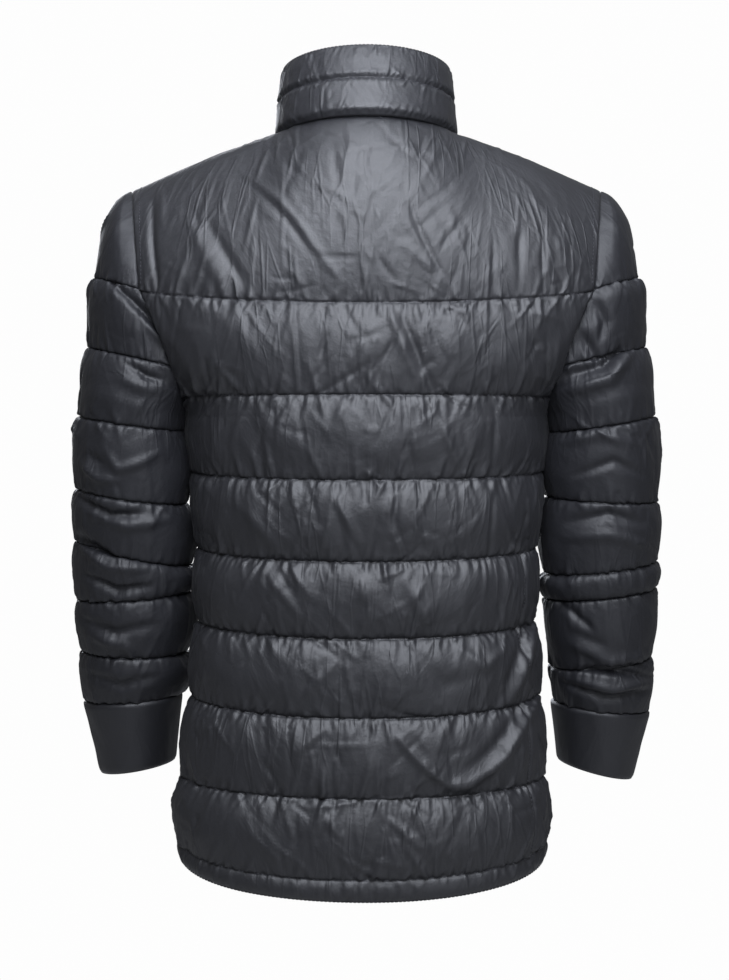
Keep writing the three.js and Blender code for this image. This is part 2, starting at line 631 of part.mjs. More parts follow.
function meshFrom(name, solid, material) {
  const { vertProperties, triVerts } = solid.getMesh();
  const geometry = new THREE.BufferGeometry();
  geometry.setAttribute("position", new THREE.Float32BufferAttribute(vertProperties, 3));
  geometry.setIndex(Array.from(triVerts));
  geometry.computeVertexNormals();
  const mesh = new THREE.Mesh(geometry, material);
  mesh.name = name;
  return mesh;
}

function block(size, centre) {
  return solidFrom(new THREE.BoxGeometry(...size).translate(...centre));
}

const SLIDER_TOP = ZIP_TOP.z + SLIDER.clearance + SLIDER.bridge;
const SLIDER_FRONT = ZIP_TOP.y - TEETH.thick / 2 - 2 - SLIDER.plate;
const PIVOT = vec(0, SLIDER_FRONT - LUG.reach + 1.6, SLIDER_TOP - 4);

function slider() {
  const middleY = ZIP_TOP.y + TAPE.behind + TAPE.thick / 2;
  const halfGap = TEETH.thick / 2 + SLIDER.clearance + 0.6;
  const centreZ = SLIDER_TOP - SLIDER.height / 2;
  const front = block([SLIDER.width, SLIDER.plate, SLIDER.height], [0, middleY - halfGap - SLIDER.plate / 2, centreZ]);
  const rear = block([SLIDER.width, SLIDER.plate, SLIDER.height], [0, middleY + halfGap + SLIDER.plate / 2, centreZ]);
  const bridge = block([4, 2 * halfGap + 1, SLIDER.bridge], [0, middleY, SLIDER_TOP - SLIDER.bridge / 2]);
  let body = front.add(rear).add(bridge);
  const faceY = middleY - halfGap - SLIDER.plate;
  for (const side of [-1, 1]) {
    const x = side * (LUG.inside + LUG.width / 2);
    const reach = faceY - PIVOT.y + 1.4;
    body = body.add(block([LUG.width, reach + 0.4, LUG.height], [x, faceY + 0.4 - (reach + 0.4) / 2, PIVOT.z]));
  }
  const pin = new THREE.CylinderGeometry(PIN_RADIUS, PIN_RADIUS, 2 * LUG.inside + 1, 8);
  pin.rotateZ(Math.PI / 2).translate(PIVOT.x, PIVOT.y, PIVOT.z);
  return meshFrom("zip_slider", body.add(solidFrom(pin)), METAL);
}

function pullTab() {
  const outline = new THREE.Shape();
  const half = TAB.width / 2;
  outline.moveTo(-half, -TAB.length + half);
  outline.absarc(0, -TAB.length + half, half, Math.PI, 2 * Math.PI, false);
  outline.lineTo(half, TAB.eye);
  outline.lineTo(-half, TAB.eye);
  outline.closePath();
  const plate = new THREE.ExtrudeGeometry(outline, { depth: TAB.thick, bevelEnabled: false, curveSegments: 6 });
  plate.rotateX(Math.PI / 2).translate(PIVOT.x, PIVOT.y + TAB.thick / 2, PIVOT.z);
  const eye = new THREE.CylinderGeometry(TAB.eye, TAB.eye, TAB.width, 12);
  eye.rotateZ(Math.PI / 2).translate(PIVOT.x, PIVOT.y, PIVOT.z);
  const hole = new THREE.CylinderGeometry(TAB.hole, TAB.hole, TAB.width + 2, 12);
  hole.rotateZ(Math.PI / 2).translate(PIVOT.x, PIVOT.y, PIVOT.z);
  const tab = solidFrom(plate).add(solidFrom(eye)).subtract(solidFrom(hole));
  return meshFrom("zip_pull", tab, METAL);
}

// The jacket
const jacket = new THREE.Group();
jacket.add(
  bodyPanel("back_panel", BACK, -1, 1, BODY_COLUMNS),
  bodyPanel("front_left", FRONT, 0, 1, BODY_COLUMNS / 2),
  bodyPanel("front_right", FRONT, -1, 0, BODY_COLUMNS / 2),
  sleeve("sleeve_left", 1),
  sleeve("sleeve_right", -1),
  cuff("cuff_left", 1),
  cuff("cuff_right", -1),
  collar(),
);
for (const [label, side] of [["left", 1], ["right", -1]]) {
  jacket.add(zipStrip(`zip_tape_${label}`, side, TAPE, TAPE.behind, TAPE_CLOTH));
  jacket.add(zipStrip(`zip_teeth_${label}`, side, TEETH, TEETH_BEHIND, METAL));
}
jacket.add(slider(), pullTab());

export default jacket;
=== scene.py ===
"""Dresses the quilted puffer jacket: padded panels, sleeves, collar, cuffs, zip, thread and studio."""

import logging
import math
from dataclasses import dataclass
from enum import Enum

import bmesh
import bpy
import numpy as np
from mathutils import Matrix, Vector


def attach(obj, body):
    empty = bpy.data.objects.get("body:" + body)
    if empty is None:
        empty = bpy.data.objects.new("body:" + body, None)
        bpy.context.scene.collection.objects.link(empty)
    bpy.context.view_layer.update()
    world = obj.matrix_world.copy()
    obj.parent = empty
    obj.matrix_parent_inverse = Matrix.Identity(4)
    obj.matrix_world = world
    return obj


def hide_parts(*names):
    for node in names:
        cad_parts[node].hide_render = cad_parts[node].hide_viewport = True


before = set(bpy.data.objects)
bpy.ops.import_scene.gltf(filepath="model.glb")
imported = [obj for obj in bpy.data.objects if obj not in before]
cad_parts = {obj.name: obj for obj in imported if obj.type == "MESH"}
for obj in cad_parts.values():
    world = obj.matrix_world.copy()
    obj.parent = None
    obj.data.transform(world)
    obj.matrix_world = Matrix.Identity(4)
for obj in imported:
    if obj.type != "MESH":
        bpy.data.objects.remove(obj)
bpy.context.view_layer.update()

MM = 0.001
BODY = "jacket"
LOG = logging.getLogger("jacket")

# Sizes of the cut, in millimetres, as the solids have them
SEAM_WALL = 3.0
BODY_CROWN = 16.0
SIDE_CROWN = 11.0
PRESSED_CROWN = 7.0
SLEEVE_CROWN = 11.0
NECK_SHARE = 0.5
FRONT_EDGE = 8.0
SHOULDER_BOW = 3.0
NECK_SIDE = (79.0, -4.0, -9.0)
NECK_BACK = (0.0, 83.0, 4.0)
NECK_FRONT = (8.0, -76.0, -64.0)
SHOULDER_TIP = (225.0, -16.0, -63.0)
CAP_WIDTH = 45.0
CAP_RISE = 13.0
CAP_DROP = 8.0
YOKE_STEPS = 6
SEAM_GAP = 0.3
COLLAR_TOP = {"back": 73.0, "side": 57.0, "front": 36.0}
COLLAR_RADIUS = {"side": 77.0, "back": 67.0, "front": 73.0}
COLLAR_STITCH = 0.52
COLLAR_WALL = 4.0


class Face(Enum):
    """Which half of the body a panel covers."""

    BACK = 1
    FRONT = -1


class Side(Enum):
    """Wearer's side of a piece that comes in a pair."""

    LEFT = 1
    RIGHT = -1


@dataclass(frozen=True)
class Column:
    """A named column of a short table of sizes, read between its rows."""

    keys: tuple[float, ...]
    values: tuple[float, ...]

    def at(self, key: np.ndarray) -> np.ndarray:
        """Value between the rows; the keys may rise or fall."""
        keys, values = np.array(self.keys), np.array(self.values)
        order = np.argsort(keys)
        return np.interp(key, keys[order], values[order])


# Stitched lines round the body: line 1 at the shoulder blades, then down to the hem line and hem edge
BODY_LINES = {
    "side_z": (-156, -254, -328, -400, -470, -540, -617, -680, -696),
    "centre_z": (-169, -253, -331, -406, -477, -550, -623, -697, -717),
    "half_width": (212, 172, 166, 159, 157, 162, 170, 173, 170),
    "side_y": (0, 0, 14, 22, 26, 30, 32, 32, 32),
    "back": (117, 120, 118, 113, 109, 110, 114, 116, 114),
    "front": (110, 121, 125, 123, 121, 121, 124, 124, 122),
    "sway": (0, 0, 0, 0, 1, 2, 4, 4, 4),
}
ARMHOLE = {
    "z": (-156, -169, -198, -228, -241, -254, -272),
    "x": (212, 204, 189, 178, 175, 172, 168),
    "back": (64, 66, 64, 56, 48, 36, 6),
    "front": (-60, -62, -62, -54, -46, -34, 6),
}
# Lines round a sleeve, from the underarm to the cuff's edge
SLEEVE_LINES = {
    "left_near": (-272, -288, -360, -420, -446, -507, -548, -618),
    "left_far": (-248, -275, -345, -396, -454, -505, -556, -630),
    "right_near": (-272, -290, -353, -428, -453, -521, -556, -618),
    "right_far": (-248, -275, -358, -416, -442, -511, -566, -636),
    "x": (226, 228, 229, 228, 229, 230, 232, 228),
    "y": (2, 0, -7, -17, -23, -35, -47, -61),
    "wide": (43, 46, 47, 49, 48, 44, 40, 35),
    "deep": (60, 59, 57, 54, 52, 50, 46, 41),
}
BODY_LAST = len(BODY_LINES["side_z"]) - 1
CUFF_LINE = len(SLEEVE_LINES["x"]) - 2
ARMHOLE_STEPS = YOKE_STEPS + len(ARMHOLE["z"]) - 1


def body_line(column: str, line: np.ndarray) -> np.ndarray:
    """Value of a column of the body's table at a line number, whole or between lines."""
    values = BODY_LINES[column]
    return np.interp(line, np.arange(len(values)), values)


def sleeve_line(column: str, line: np.ndarray) -> np.ndarray:
    """Value of a column of the sleeve's table at a line number, whole or between lines."""
    values = SLEEVE_LINES[column]
    return np.interp(line, np.arange(len(values)), values)


def stack(x: np.ndarray, y: np.ndarray, z: np.ndarray) -> np.ndarray:
    """Points from their three coordinates."""
    return np.stack(np.broadcast_arrays(x, y, z), axis=-1).astype(float)


def unit(vectors: np.ndarray) -> np.ndarray:
    """Vectors at length one."""
    return vectors / np.maximum(np.linalg.norm(vectors, axis=-1, keepdims=True), 1e-9)


def puff(share: np.ndarray) -> np.ndarray:
    """Share of full thickness between two stitched lines, fullest low down."""
    sagged = np.power(np.clip(share, 0, 1), 0.88)
    return 1 - np.power(np.abs(2 * sagged - 1), 2.1)


class BodyCut:
    """The body's cut: where a place on a front or back panel lies, in millimetres."""

    @staticmethod
    def edge(face: Face, z: np.ndarray) -> tuple[np.ndarray, np.ndarray]:
        """Edge of a panel at a height: the armhole, then the side seam.

        Args:
            face: the front or the back.
            z: heights.

        Returns:
            The edge's distance from the middle, and its depth.
        """
        underarm = ARMHOLE["z"][-1]
        hole_x = Column(ARMHOLE["z"], ARMHOLE["x"]).at(z)
        hole_y = Column(ARMHOLE["z"], ARMHOLE["back" if face is Face.BACK else "front"]).at(z)
        line_3 = BODY_LINES["side_z"][2]
        share = np.clip((underarm - z) / (underarm - line_3), 0, 1)
        wide = Column(BODY_LINES["side_z"], BODY_LINES["half_width"]).at(z)
        deep = Column(BODY_LINES["side_z"], BODY_LINES["side_y"]).at(np.minimum(z, line_3))
        seam_x = ARMHOLE["x"][-1] + (wide - ARMHOLE["x"][-1]) * share
        seam_y = ARMHOLE["back"][-1] + (deep - ARMHOLE["back"][-1]) * share
        above = z >= underarm
        return np.where(above, hole_x, seam_x), np.where(above, hole_y, seam_y)

    @classmethod
    def channel(cls, face: Face, across: np.ndarray, line: np.ndarray) -> np.ndarray:
        """Points on the inner face of a panel, from line 1 down.

        Args:
            face: the front or the back.
            across: from -1 on the wearer's right to 1 on the left.
            line: the line number, 0 at line 1.

        Returns:
            The points.
        """
        reach = np.abs(across)
        side_z = body_line("side_z", line)
        centre_z = body_line("centre_z", line)
        edge_x, edge_y = cls.edge(face, side_z)
        depth = face.value * body_line("back" if face is Face.BACK else "front", line)
        turn = np.radians(np.clip(62 + 16 * (-156 - side_z) / 120, 62, 78))
        wide = np.sin(reach * turn) / np.sin(turn)
        rounding = np.clip((np.cos(reach * turn) - np.cos(turn)) / (1 - np.cos(turn)), 0, 1)
        middle = FRONT_EDGE if face is Face.FRONT else 0.0
        sway = body_line("sway", line) * np.minimum(1, reach * 2)
        x = np.sign(across) * (middle + (edge_x - middle) * wide) + sway
        z = side_z + (centre_z - side_z) * (1 - reach * reach)
        return stack(x, edge_y + (depth - edge_y) * np.power(rounding, 0.85), z)

    @staticmethod
    def top(face: Face, across: np.ndarray) -> np.ndarray:
        """Points along a panel's top edge: half the neck, then the shoulder seam."""
        reach, side = np.abs(across), np.sign(across)
        share = np.clip((reach - NECK_SHARE) / (1 - NECK_SHARE), 0, 1)[..., None]
        shoulder = np.array(NECK_SIDE) * (1 - share) + np.array(SHOULDER_TIP) * share
        shoulder[..., 2] += SHOULDER_BOW * np.sin(np.pi * share[..., 0])
        centre = NECK_BACK if face is Face.BACK else NECK_FRONT
        turn = np.clip(reach / NECK_SHARE, 0, 1) * (np.pi / 2)
        fall = np.cos(turn)
        x = centre[0] + (NECK_SIDE[0] - centre[0]) * np.sin(turn)
        drop = fall if face is Face.BACK else np.power(fall, 1.4)
        y = NECK_SIDE[1] + (centre[1] - NECK_SIDE[1]) * fall
        neck = stack(x, y, NECK_SIDE[2] + (centre[2] - NECK_SIDE[2]) * drop)
        points = np.where((reach >= NECK_SHARE)[..., None], shoulder, neck)
        points[..., 0] *= side
        return points

    @classmethod
    def yoke(cls, face: Face, across: np.ndarray, down: np.ndarray) -> np.ndarray:
        """Points of the yoke; down is 0 at the top edge and 1 at line 1."""
        foot = cls.channel(face, across, np.zeros_like(across))
        top = cls.top(face, across)
        shoulder = np.clip(np.abs(across) / NECK_SHARE, 0, 1)
        low, high = (-1.2, 0.3) if face is Face.BACK else (-0.9, -0.3)
        over = stack(np.zeros_like(across), np.full_like(across, face.value), low + (high - low) * shoulder)
        swing = over * (0.5 * np.abs(foot[..., 1] - top[..., 1]))[..., None]
        sideways = 0.3 * (top[..., 0] - foot[..., 0])
        rise = stack(sideways, np.zeros_like(across), 0.55 * (top[..., 2] - foot[..., 2]))
        t = down[..., None]
        mixed = 3 * (1 - t) ** 2 * t * (top + swing) + 3 * (1 - t) * t * t * (foot + rise)
        return (1 - t) ** 3 * top + mixed + t ** 3 * foot

    @classmethod
    def points(cls, face: Face, across: np.ndarray, course: np.ndarray) -> np.ndarray:
        """Points of a panel; course is 0 at the top edge, 1 at line 1 and one more at each line."""
        upper = cls.yoke(face, across, np.clip(course, 0, 1))
        lower = cls.channel(face, across, np.clip(course - 1, 0, BODY_LAST))
        return np.where((course < 1)[..., None], upper, lower)


class SleeveCut:
    """A sleeve's cut on the wearer's left, in millimetres; the right one mirrors it."""

    @staticmethod
    def ring(side: Side, line: np.ndarray, turn: np.ndarray) -> np.ndarray:
        """Points on rings; turn is 0 at the body, a quarter at the back and a half at the far side."""
        angle = turn * 2 * np.pi
        out = (1 - np.cos(angle)) / 2
        name = side.name.lower()
        near, far = sleeve_line(name + "_near", line), sleeve_line(name + "_far", line)
        x = sleeve_line("x", line) - sleeve_line("wide", line) * np.cos(angle)
        y = sleeve_line("y", line) + sleeve_line("deep", line) * np.sin(angle)
        return stack(x, y, near + (far - near) * out)

    @staticmethod
    def hole(face: Face, cap: np.ndarray) -> np.ndarray:
        """Points of the armhole on its back or front, down the cap's steps."""
        ones = np.ones_like(cap)
        upper = BodyCut.yoke(face, ones, np.clip(cap / YOKE_STEPS, 0, 1))
        step = np.clip(cap - YOKE_STEPS, 0, None)
        numbers = np.arange(len(ARMHOLE["z"]))
        depth = ARMHOLE["back" if face is Face.BACK else "front"]
        columns = (ARMHOLE["x"], depth, ARMHOLE["z"])
        lower = stack(*(np.interp(step, numbers, values) for values in columns))
        return np.where((cap <= YOKE_STEPS)[..., None], upper, lower)

    @classmethod
    def cap(cls, cap: np.ndarray, share: np.ndarray) -> np.ndarray:
        """Points of the cap, on arcs from the armhole's back to its front."""
        back, front = cls.hole(Face.BACK, cap), cls.hole(Face.FRONT, cap)
        upper = np.clip(cap / YOKE_STEPS, 0, 1)
        lower = np.clip((cap - YOKE_STEPS) / (ARMHOLE_STEPS - YOKE_STEPS), 0, 1)
        root = np.sqrt(lower)
        hole_x = np.maximum(back[..., 0], np.where(lower > 0, ARMHOLE["x"][0], 0))
        under_x, under_wide = SLEEVE_LINES["x"][0], SLEEVE_LINES["wide"][0]
        reach = hole_x + CAP_WIDTH * np.power(upper, 0.85)
        reach = reach + (under_x + under_wide - reach) * lower
        centre = back[..., 0] + (under_x - back[..., 0]) * root
        wide = reach - centre
        start = np.arccos(np.clip((centre - back[..., 0]) / np.maximum(wide, 1e-6), 0, 1)) / (2 * np.pi)
        half = (back[..., 1] - front[..., 1]) / 2
        deep = half + (SLEEVE_LINES["deep"][0] - half) * root
        middle = (back[..., 1] + front[..., 1]) / 2
        middle = middle + (SLEEVE_LINES["y"][0] - middle) * lower
        near = back[..., 2]
        far = near - CAP_DROP * np.sin(np.pi * upper) + CAP_RISE * (upper * upper + 0.85 * lower)

        def on_ring(turn: np.ndarray) -> np.ndarray:
            """Points of the arc's full ring at a turn."""
            angle = turn * 2 * np.pi
            out = (1 - np.cos(angle)) / 2
            y = middle + deep * np.sin(angle)
            return stack(centre - wide * np.cos(angle), y, near + (far - near) * out)

        points = on_ring(start + (1 - 2 * start) * share)
        fade = 5 + 9 * lower
        points += (back - on_ring(start)) * np.power(1 - share, fade)[..., None]
        points += (front - on_ring(1 - start)) * np.power(share, fade)[..., None]
        return points

    @classmethod
    def points(cls, side: Side, share: np.ndarray, course: np.ndarray) -> np.ndarray:
        """Points of a sleeve; course is 0 to 12 down the cap, then 13 at the first full line."""
        cap = cls.cap(np.clip(course, 0, ARMHOLE_STEPS), share)
        first_ring = cls.ring(side, np.ones_like(course), share)
        between = np.clip(course - ARMHOLE_STEPS, 0, 1)[..., None]
        joined = cap * (1 - between) + first_ring * between
        lower = cls.ring(side, np.clip(course - ARMHOLE_STEPS, 1, CUFF_LINE), share)
        return np.where((course < ARMHOLE_STEPS + 1)[..., None], joined, lower)


def grid_normals(points: np.ndarray, wraps: bool) -> np.ndarray:
    """Directions across a wall from its grid of points.

    Args:
        points: rows by columns of points.
        wraps: whether the first and last columns are the same place.

    Returns:
        Unit vectors, of one hand all over the grid.
    """
    along = np.gradient(points, axis=0)
    around = np.gradient(points, axis=1)
    if wraps:
        seam = (points[:, 1] - points[:, -2]) / 2
        around[:, 0] = seam
        around[:, -1] = seam
    return unit(np.cross(along, around))


def facing(normals: np.ndarray, outward: np.ndarray) -> np.ndarray:
    """Directions turned over where they point away from the outward ones."""
    return normals * np.where(np.sum(normals * outward, axis=-1, keepdims=True) < 0, -1, 1)


def armhole_normals(points: np.ndarray) -> np.ndarray:
    """Directions across the wall at the armhole, shared by the body and the sleeve."""
    up = np.clip((points[..., 2] + 165) / 100, -1, 1)
    low = np.clip(-up, 0, 1)
    side = np.sign(points[..., 0])
    return unit(stack(side * (0.3 + 0.45 * low), (points[..., 1] - 2) / 62, up))


def line_lengths(points: np.ndarray) -> np.ndarray:
    """Distance along a line at each of its places."""
    return np.concatenate(((0.0,), np.cumsum(np.linalg.norm(np.diff(points, axis=0), axis=1))))


def place_along(values: np.ndarray, lengths: np.ndarray, distance: float) -> Vector:
    """Value at a distance along a line.

    Args:
        values: a place or a direction at each point of the line.
        lengths: distances of those points along the line.
        distance: the distance that is asked for.

    Returns:
        The value there, between its neighbours.
    """
    return Vector([float(np.interp(distance, lengths, values[:, axis])) for axis in range(3)])


def lattice_noise(x: np.ndarray, y: np.ndarray, seed: int) -> np.ndarray:
    """Smooth noise from 0 to 1 over a plane, the same for the same seed."""
    table = np.random.RandomState(seed).rand(256, 256)
    column, row = np.floor(x).astype(int), np.floor(y).astype(int)
    s, t = x - column, y - row
    s, t = s * s * (3 - 2 * s), t * t * (3 - 2 * t)

    def corner(i: int, j: int) -> np.ndarray:
        """Values at one corner of each cell."""
        return table[(row + j) % 256, (column + i) % 256]

    upper = corner(0, 0) * (1 - s) + corner(1, 0) * s
    lower = corner(0, 1) * (1 - s) + corner(1, 1) * s
    return upper * (1 - t) + lower * t


def cubic(values: np.ndarray, place: np.ndarray, breaks: np.ndarray) -> np.ndarray:
    """Smooth values between rows, with a crease left at each break.

    Args:
        values: rows of values.
        place: row numbers, whole or between rows.
        breaks: numbers of the rows where the curve may crease, both ends among them.

    Returns:
        A row of values for each place.
    """
    near = np.clip(np.floor(place).astype(int), 0, len(values) - 2)
    share = (place - near).reshape((-1,) + (1,) * (values.ndim - 1))
    span = np.searchsorted(breaks, near, side="right") - 1
    inside = (near > breaks[span]).reshape(share.shape)
    ahead = (near + 2 <= breaks[span + 1]).reshape(share.shape)
    first, second = values[near], values[near + 1]
    before = np.where(inside, values[np.maximum(near - 1, 0)], 2 * first - second)
    after = np.where(ahead, values[np.minimum(near + 2, len(values) - 1)], 2 * second - first)
    linear = second - before
    square = 2 * before - 5 * first + 4 * second - after
    cube = 3 * first - before - 3 * second + after
    return first + 0.5 * share * (linear + share * (square + share * cube))


@dataclass(frozen=True)
class Fold:
    """A soft fold laid on a wall: its path as x and z in millimetres, half width and height."""

    path: tuple[tuple[float, float], ...]
    width: float
    height: float

    def heights(self, places: np.ndarray) -> np.ndarray:
        """Height of the fold at places given as x and z."""
        path = np.array(self.path, dtype=float)
        steps = np.diff(path, axis=0)
        lengths = np.hypot(steps[:, 0], steps[:, 1])
        starts = np.concatenate(((0.0,), np.cumsum(lengths)))
        nearest = np.full(places.shape[:-1], 1e9)
        along = np.zeros(places.shape[:-1])
        for start, step, length, begun in zip(path, steps, lengths, starts):
            offset = places - start
            share = np.clip(offset @ step / length ** 2, 0, 1)
            away = np.linalg.norm(offset - share[..., None] * step, axis=-1)
            closer = away < nearest
            nearest = np.where(closer, away, nearest)
            along = np.where(closer, (begun + share * length) / starts[-1], along)
        taper = np.power(np.sin(np.pi * (0.04 + 0.92 * along)), 0.6)
        width = self.width * (0.6 + 0.4 * taper)
        return self.height * taper * np.exp(-(nearest / width) ** 2)


# Large folds of the back, from the photo: path as x and z, half width, height
BACK_FOLDS = (
    Fold(((-159, -470), (-152, -499), (-142, -522), (-132, -539)), 4.5, 4),
    Fold(((-150, -468), (-143, -495), (-133, -518), (-124, -535)), 5, -2.4),
    Fold(((-162, -543), (-150, -558), (-137, -576), (-127, -590), (-112, -601), (-92, -611), (-76, -610),
          (-62, -600), (-44, -584), (-28, -566)), 4.5, 3.6),
    Fold(((-152, -537), (-139, -552), (-127, -569), (-116, -581), (-102, -591), (-86, -599)), 6, -2.6),
    Fold(((-40, -490), (-70, -520), (-104, -512)), 8, -2),
    Fold(((-84, -486), (-110, -505), (-128, -488)), 5, 2),
    Fold(((-38, -424), (-57, -464)), 7, 2.4),
    Fold(((-2, -440), (18, -463)), 6, -2),
    Fold(((203, -70), (201, -110), (195, -156)), 3, -3),
    Fold(((194, -62), (192, -96)), 4, 1),
    Fold(((166, -92), (146, -128), (128, -163)), 7, 1.5),
    Fold(((150, -89), (131, -122), (112, -153)), 5, -1.8),
    Fold(((112, -50), (82, -74), (61, -99), (29, -144)), 4, 1.5),
    Fold(((108, -58), (74, -90), (52, -122)), 4, -1.4),
    Fold(((93, -25), (102, -52)), 2.2, 1.2),
    Fold(((54, -57), (30, -66), (9, -82)), 2, 0.9),
    Fold(((102, -73), (112, -121)), 2, 0.8),
    Fold(((78, -34), (77, -121), (74, -160)), 1.5, 0.7),
    Fold(((-37, -73), (-52, -112), (-71, -147)), 3, -1.8),
    Fold(((-4, -120), (-26, -150)), 2.4, -1.2),
    Fold(((-60, -140), (-30, -112)), 4, 1.2),
    Fold(((-116, -105), (-116, -159)), 2.4, -1.2),
    Fold(((-164, -99), (-163, -159)), 2.4, -1.6),
    Fold(((-143, -99), (-140, -155)), 3, -1.1),
    Fold(((-150, -60), (-166, -84)), 3, 1.1),
    Fold(((-29, -174), (-44, -210), (-59, -247)), 3.4, -2.4),
    Fold(((-20, -178), (-34, -212), (-46, -244)), 4, 1.5),
    Fold(((14, -202), (6, -242)), 2.4, -1.4),
    Fold(((-147, -194), (-171, -232)), 3, -1.3),
    Fold(((137, -227), (116, -251)), 2.6, 1.4),
    Fold(((71, -165), (66, -205), (63, -251)), 1.8, 1.2),
    Fold(((67, -168), (59, -250)), 3, -0.9),
    Fold(((63, -254), (59, -290), (55, -312)), 2.0, -1.3),
    Fold(((70, -256), (95, -292)), 2.0, -1.0),
    Fold(((137, -256), (160, -284)), 2.4, 1.3),
    Fold(((110, -262), (126, -300)), 3.6, 1.3),
    Fold(((-60, -262), (-84, -318)), 4, 1.6),
    Fold(((-120, -262), (-116, -322)), 2.2, -1.1),
    Fold(((54, -335), (44, -372)), 2.2, -1.2),
    Fold(((30, -345), (6, -390)), 4.5, 1.6),
    Fold(((120, -352), (80, -396)), 5, 1.2),
    Fold(((-118, -335), (-114, -398)), 2.2, -1.1),
    Fold(((90, -420), (60, -458)), 4, 1.6),
    Fold(((30, -500), (60, -530)), 4, 1.4),
    Fold(((70, -585), (40, -560)), 4, 1.4),
    Fold(((-20, -640), (-52, -668)), 4, 1.8),
    Fold(((44, -632), (20, -660)), 3.4, 1.4),
)

# Large folds of the fronts, guessed, and of the sleeves, from the photo
FRONT_FOLDS = (
    Fold(((120, -480), (96, -520), (60, -532)), 8, 4.5),
    Fold(((-124, -560), (-90, -588), (-52, -580)), 8, 4),
    Fold(((180, -60), (172, -110), (168, -156)), 5, -3),
    Fold(((-186, -66), (-180, -112), (-172, -158)), 5, -3),
    Fold(((110, -70), (76, -112), (58, -150)), 4, 1.8),
    Fold(((-96, -64), (-72, -110), (-66, -148)), 4, 1.8),
    Fold(((90, -180), (70, -240)), 3, -1.8),
    Fold(((-60, -176), (-80, -240)), 3, -1.8),
    Fold(((130, -270), (104, -318)), 4, 1.6),
    Fold(((-128, -262), (-100, -314)), 4, 1.6),
    Fold(((60, -345), (36, -390)), 4, 1.6),
    Fold(((-40, -420), (-66, -462)), 4, 1.8),
    Fold(((80, -560), (50, -600)), 5, 2),
    Fold(((-90, -490), (-66, -528)), 5, -2),
)
LEFT_SLEEVE_FOLDS = (
    Fold(((239, -148), (214, -172), (190, -196)), 4.5, -6),
    Fold(((231, -158), (206, -184), (190, -206)), 4, 2.5),
    Fold(((222, -226), (206, -236), (192, -240)), 4, -4.5),
    Fold(((232, -236), (214, -246), (196, -250)), 5, 2.2),
    Fold(((244, -308), (234, -324), (214, -318), (196, -308)), 4, 2.6),
    Fold(((272, -318), (252, -333), (234, -334)), 4, 3.2),
    Fold(((264, -310), (248, -320)), 4, -2.4),
    Fold(((276, -352), (242, -368), (214, -366)), 4, -6),
    Fold(((262, -362), (226, -378), (190, -372)), 5, 3),
    Fold(((279, -388), (240, -406)), 4, -4),
    Fold(((276, -398), (246, -418), (206, -420)), 5, 3),
    Fold(((270, -426), (238, -440), (206, -436)), 4, -5),
    Fold(((274, -470), (240, -482), (204, -474)), 5, -4),
    Fold(((262, -486), (226, -496)), 5, 3),
    Fold(((268, -524), (236, -534), (206, -526)), 5, -3.5),
)
RIGHT_SLEEVE_FOLDS = (
    Fold(((-193, -250), (-228, -238), (-249, -215)), 6, 4.5),
    Fold(((-190, -236), (-222, -226), (-241, -208)), 5, -5),
    Fold(((-212, -166), (-224, -186), (-218, -204)), 5, -4),
    Fold(((-200, -196), (-216, -222)), 5, -4),
    Fold(((-188, -300), (-220, -290), (-250, -300)), 5, 2.6),
    Fold(((-196, -330), (-232, -316), (-262, -330)), 4, -3),
    Fold(((-190, -376), (-228, -366), (-262, -376)), 5, -4),
    Fold(((-188, -390), (-230, -386), (-268, -396)), 5, 3),
    Fold(((-188, -454), (-217, -480)), 4, -3.2),
    Fold(((-198, -494), (-233, -508), (-270, -504)), 4.5, 3),
    Fold(((-196, -482), (-230, -494)), 4, -2),
    Fold(((-209, -516), (-244, -520), (-279, -530)), 5, -6),
    Fold(((-206, -530), (-238, -538), (-270, -532)), 5, 3.4),
    Fold(((-192, -534), (-229, -546), (-274, -542)), 4, -4.5),
)

# Grids of the cloth: steps in millimetres, crowding of the rows towards the stitched lines, from 0 to 1
SIMULATED_STEP = 4.3
FINE_STEP = 2.1
FINE_CROWD = 0.45

# Place across the back, from -1 to 1, of the side seam that shows on the wearer's right
BACK_SEAM = -0.79


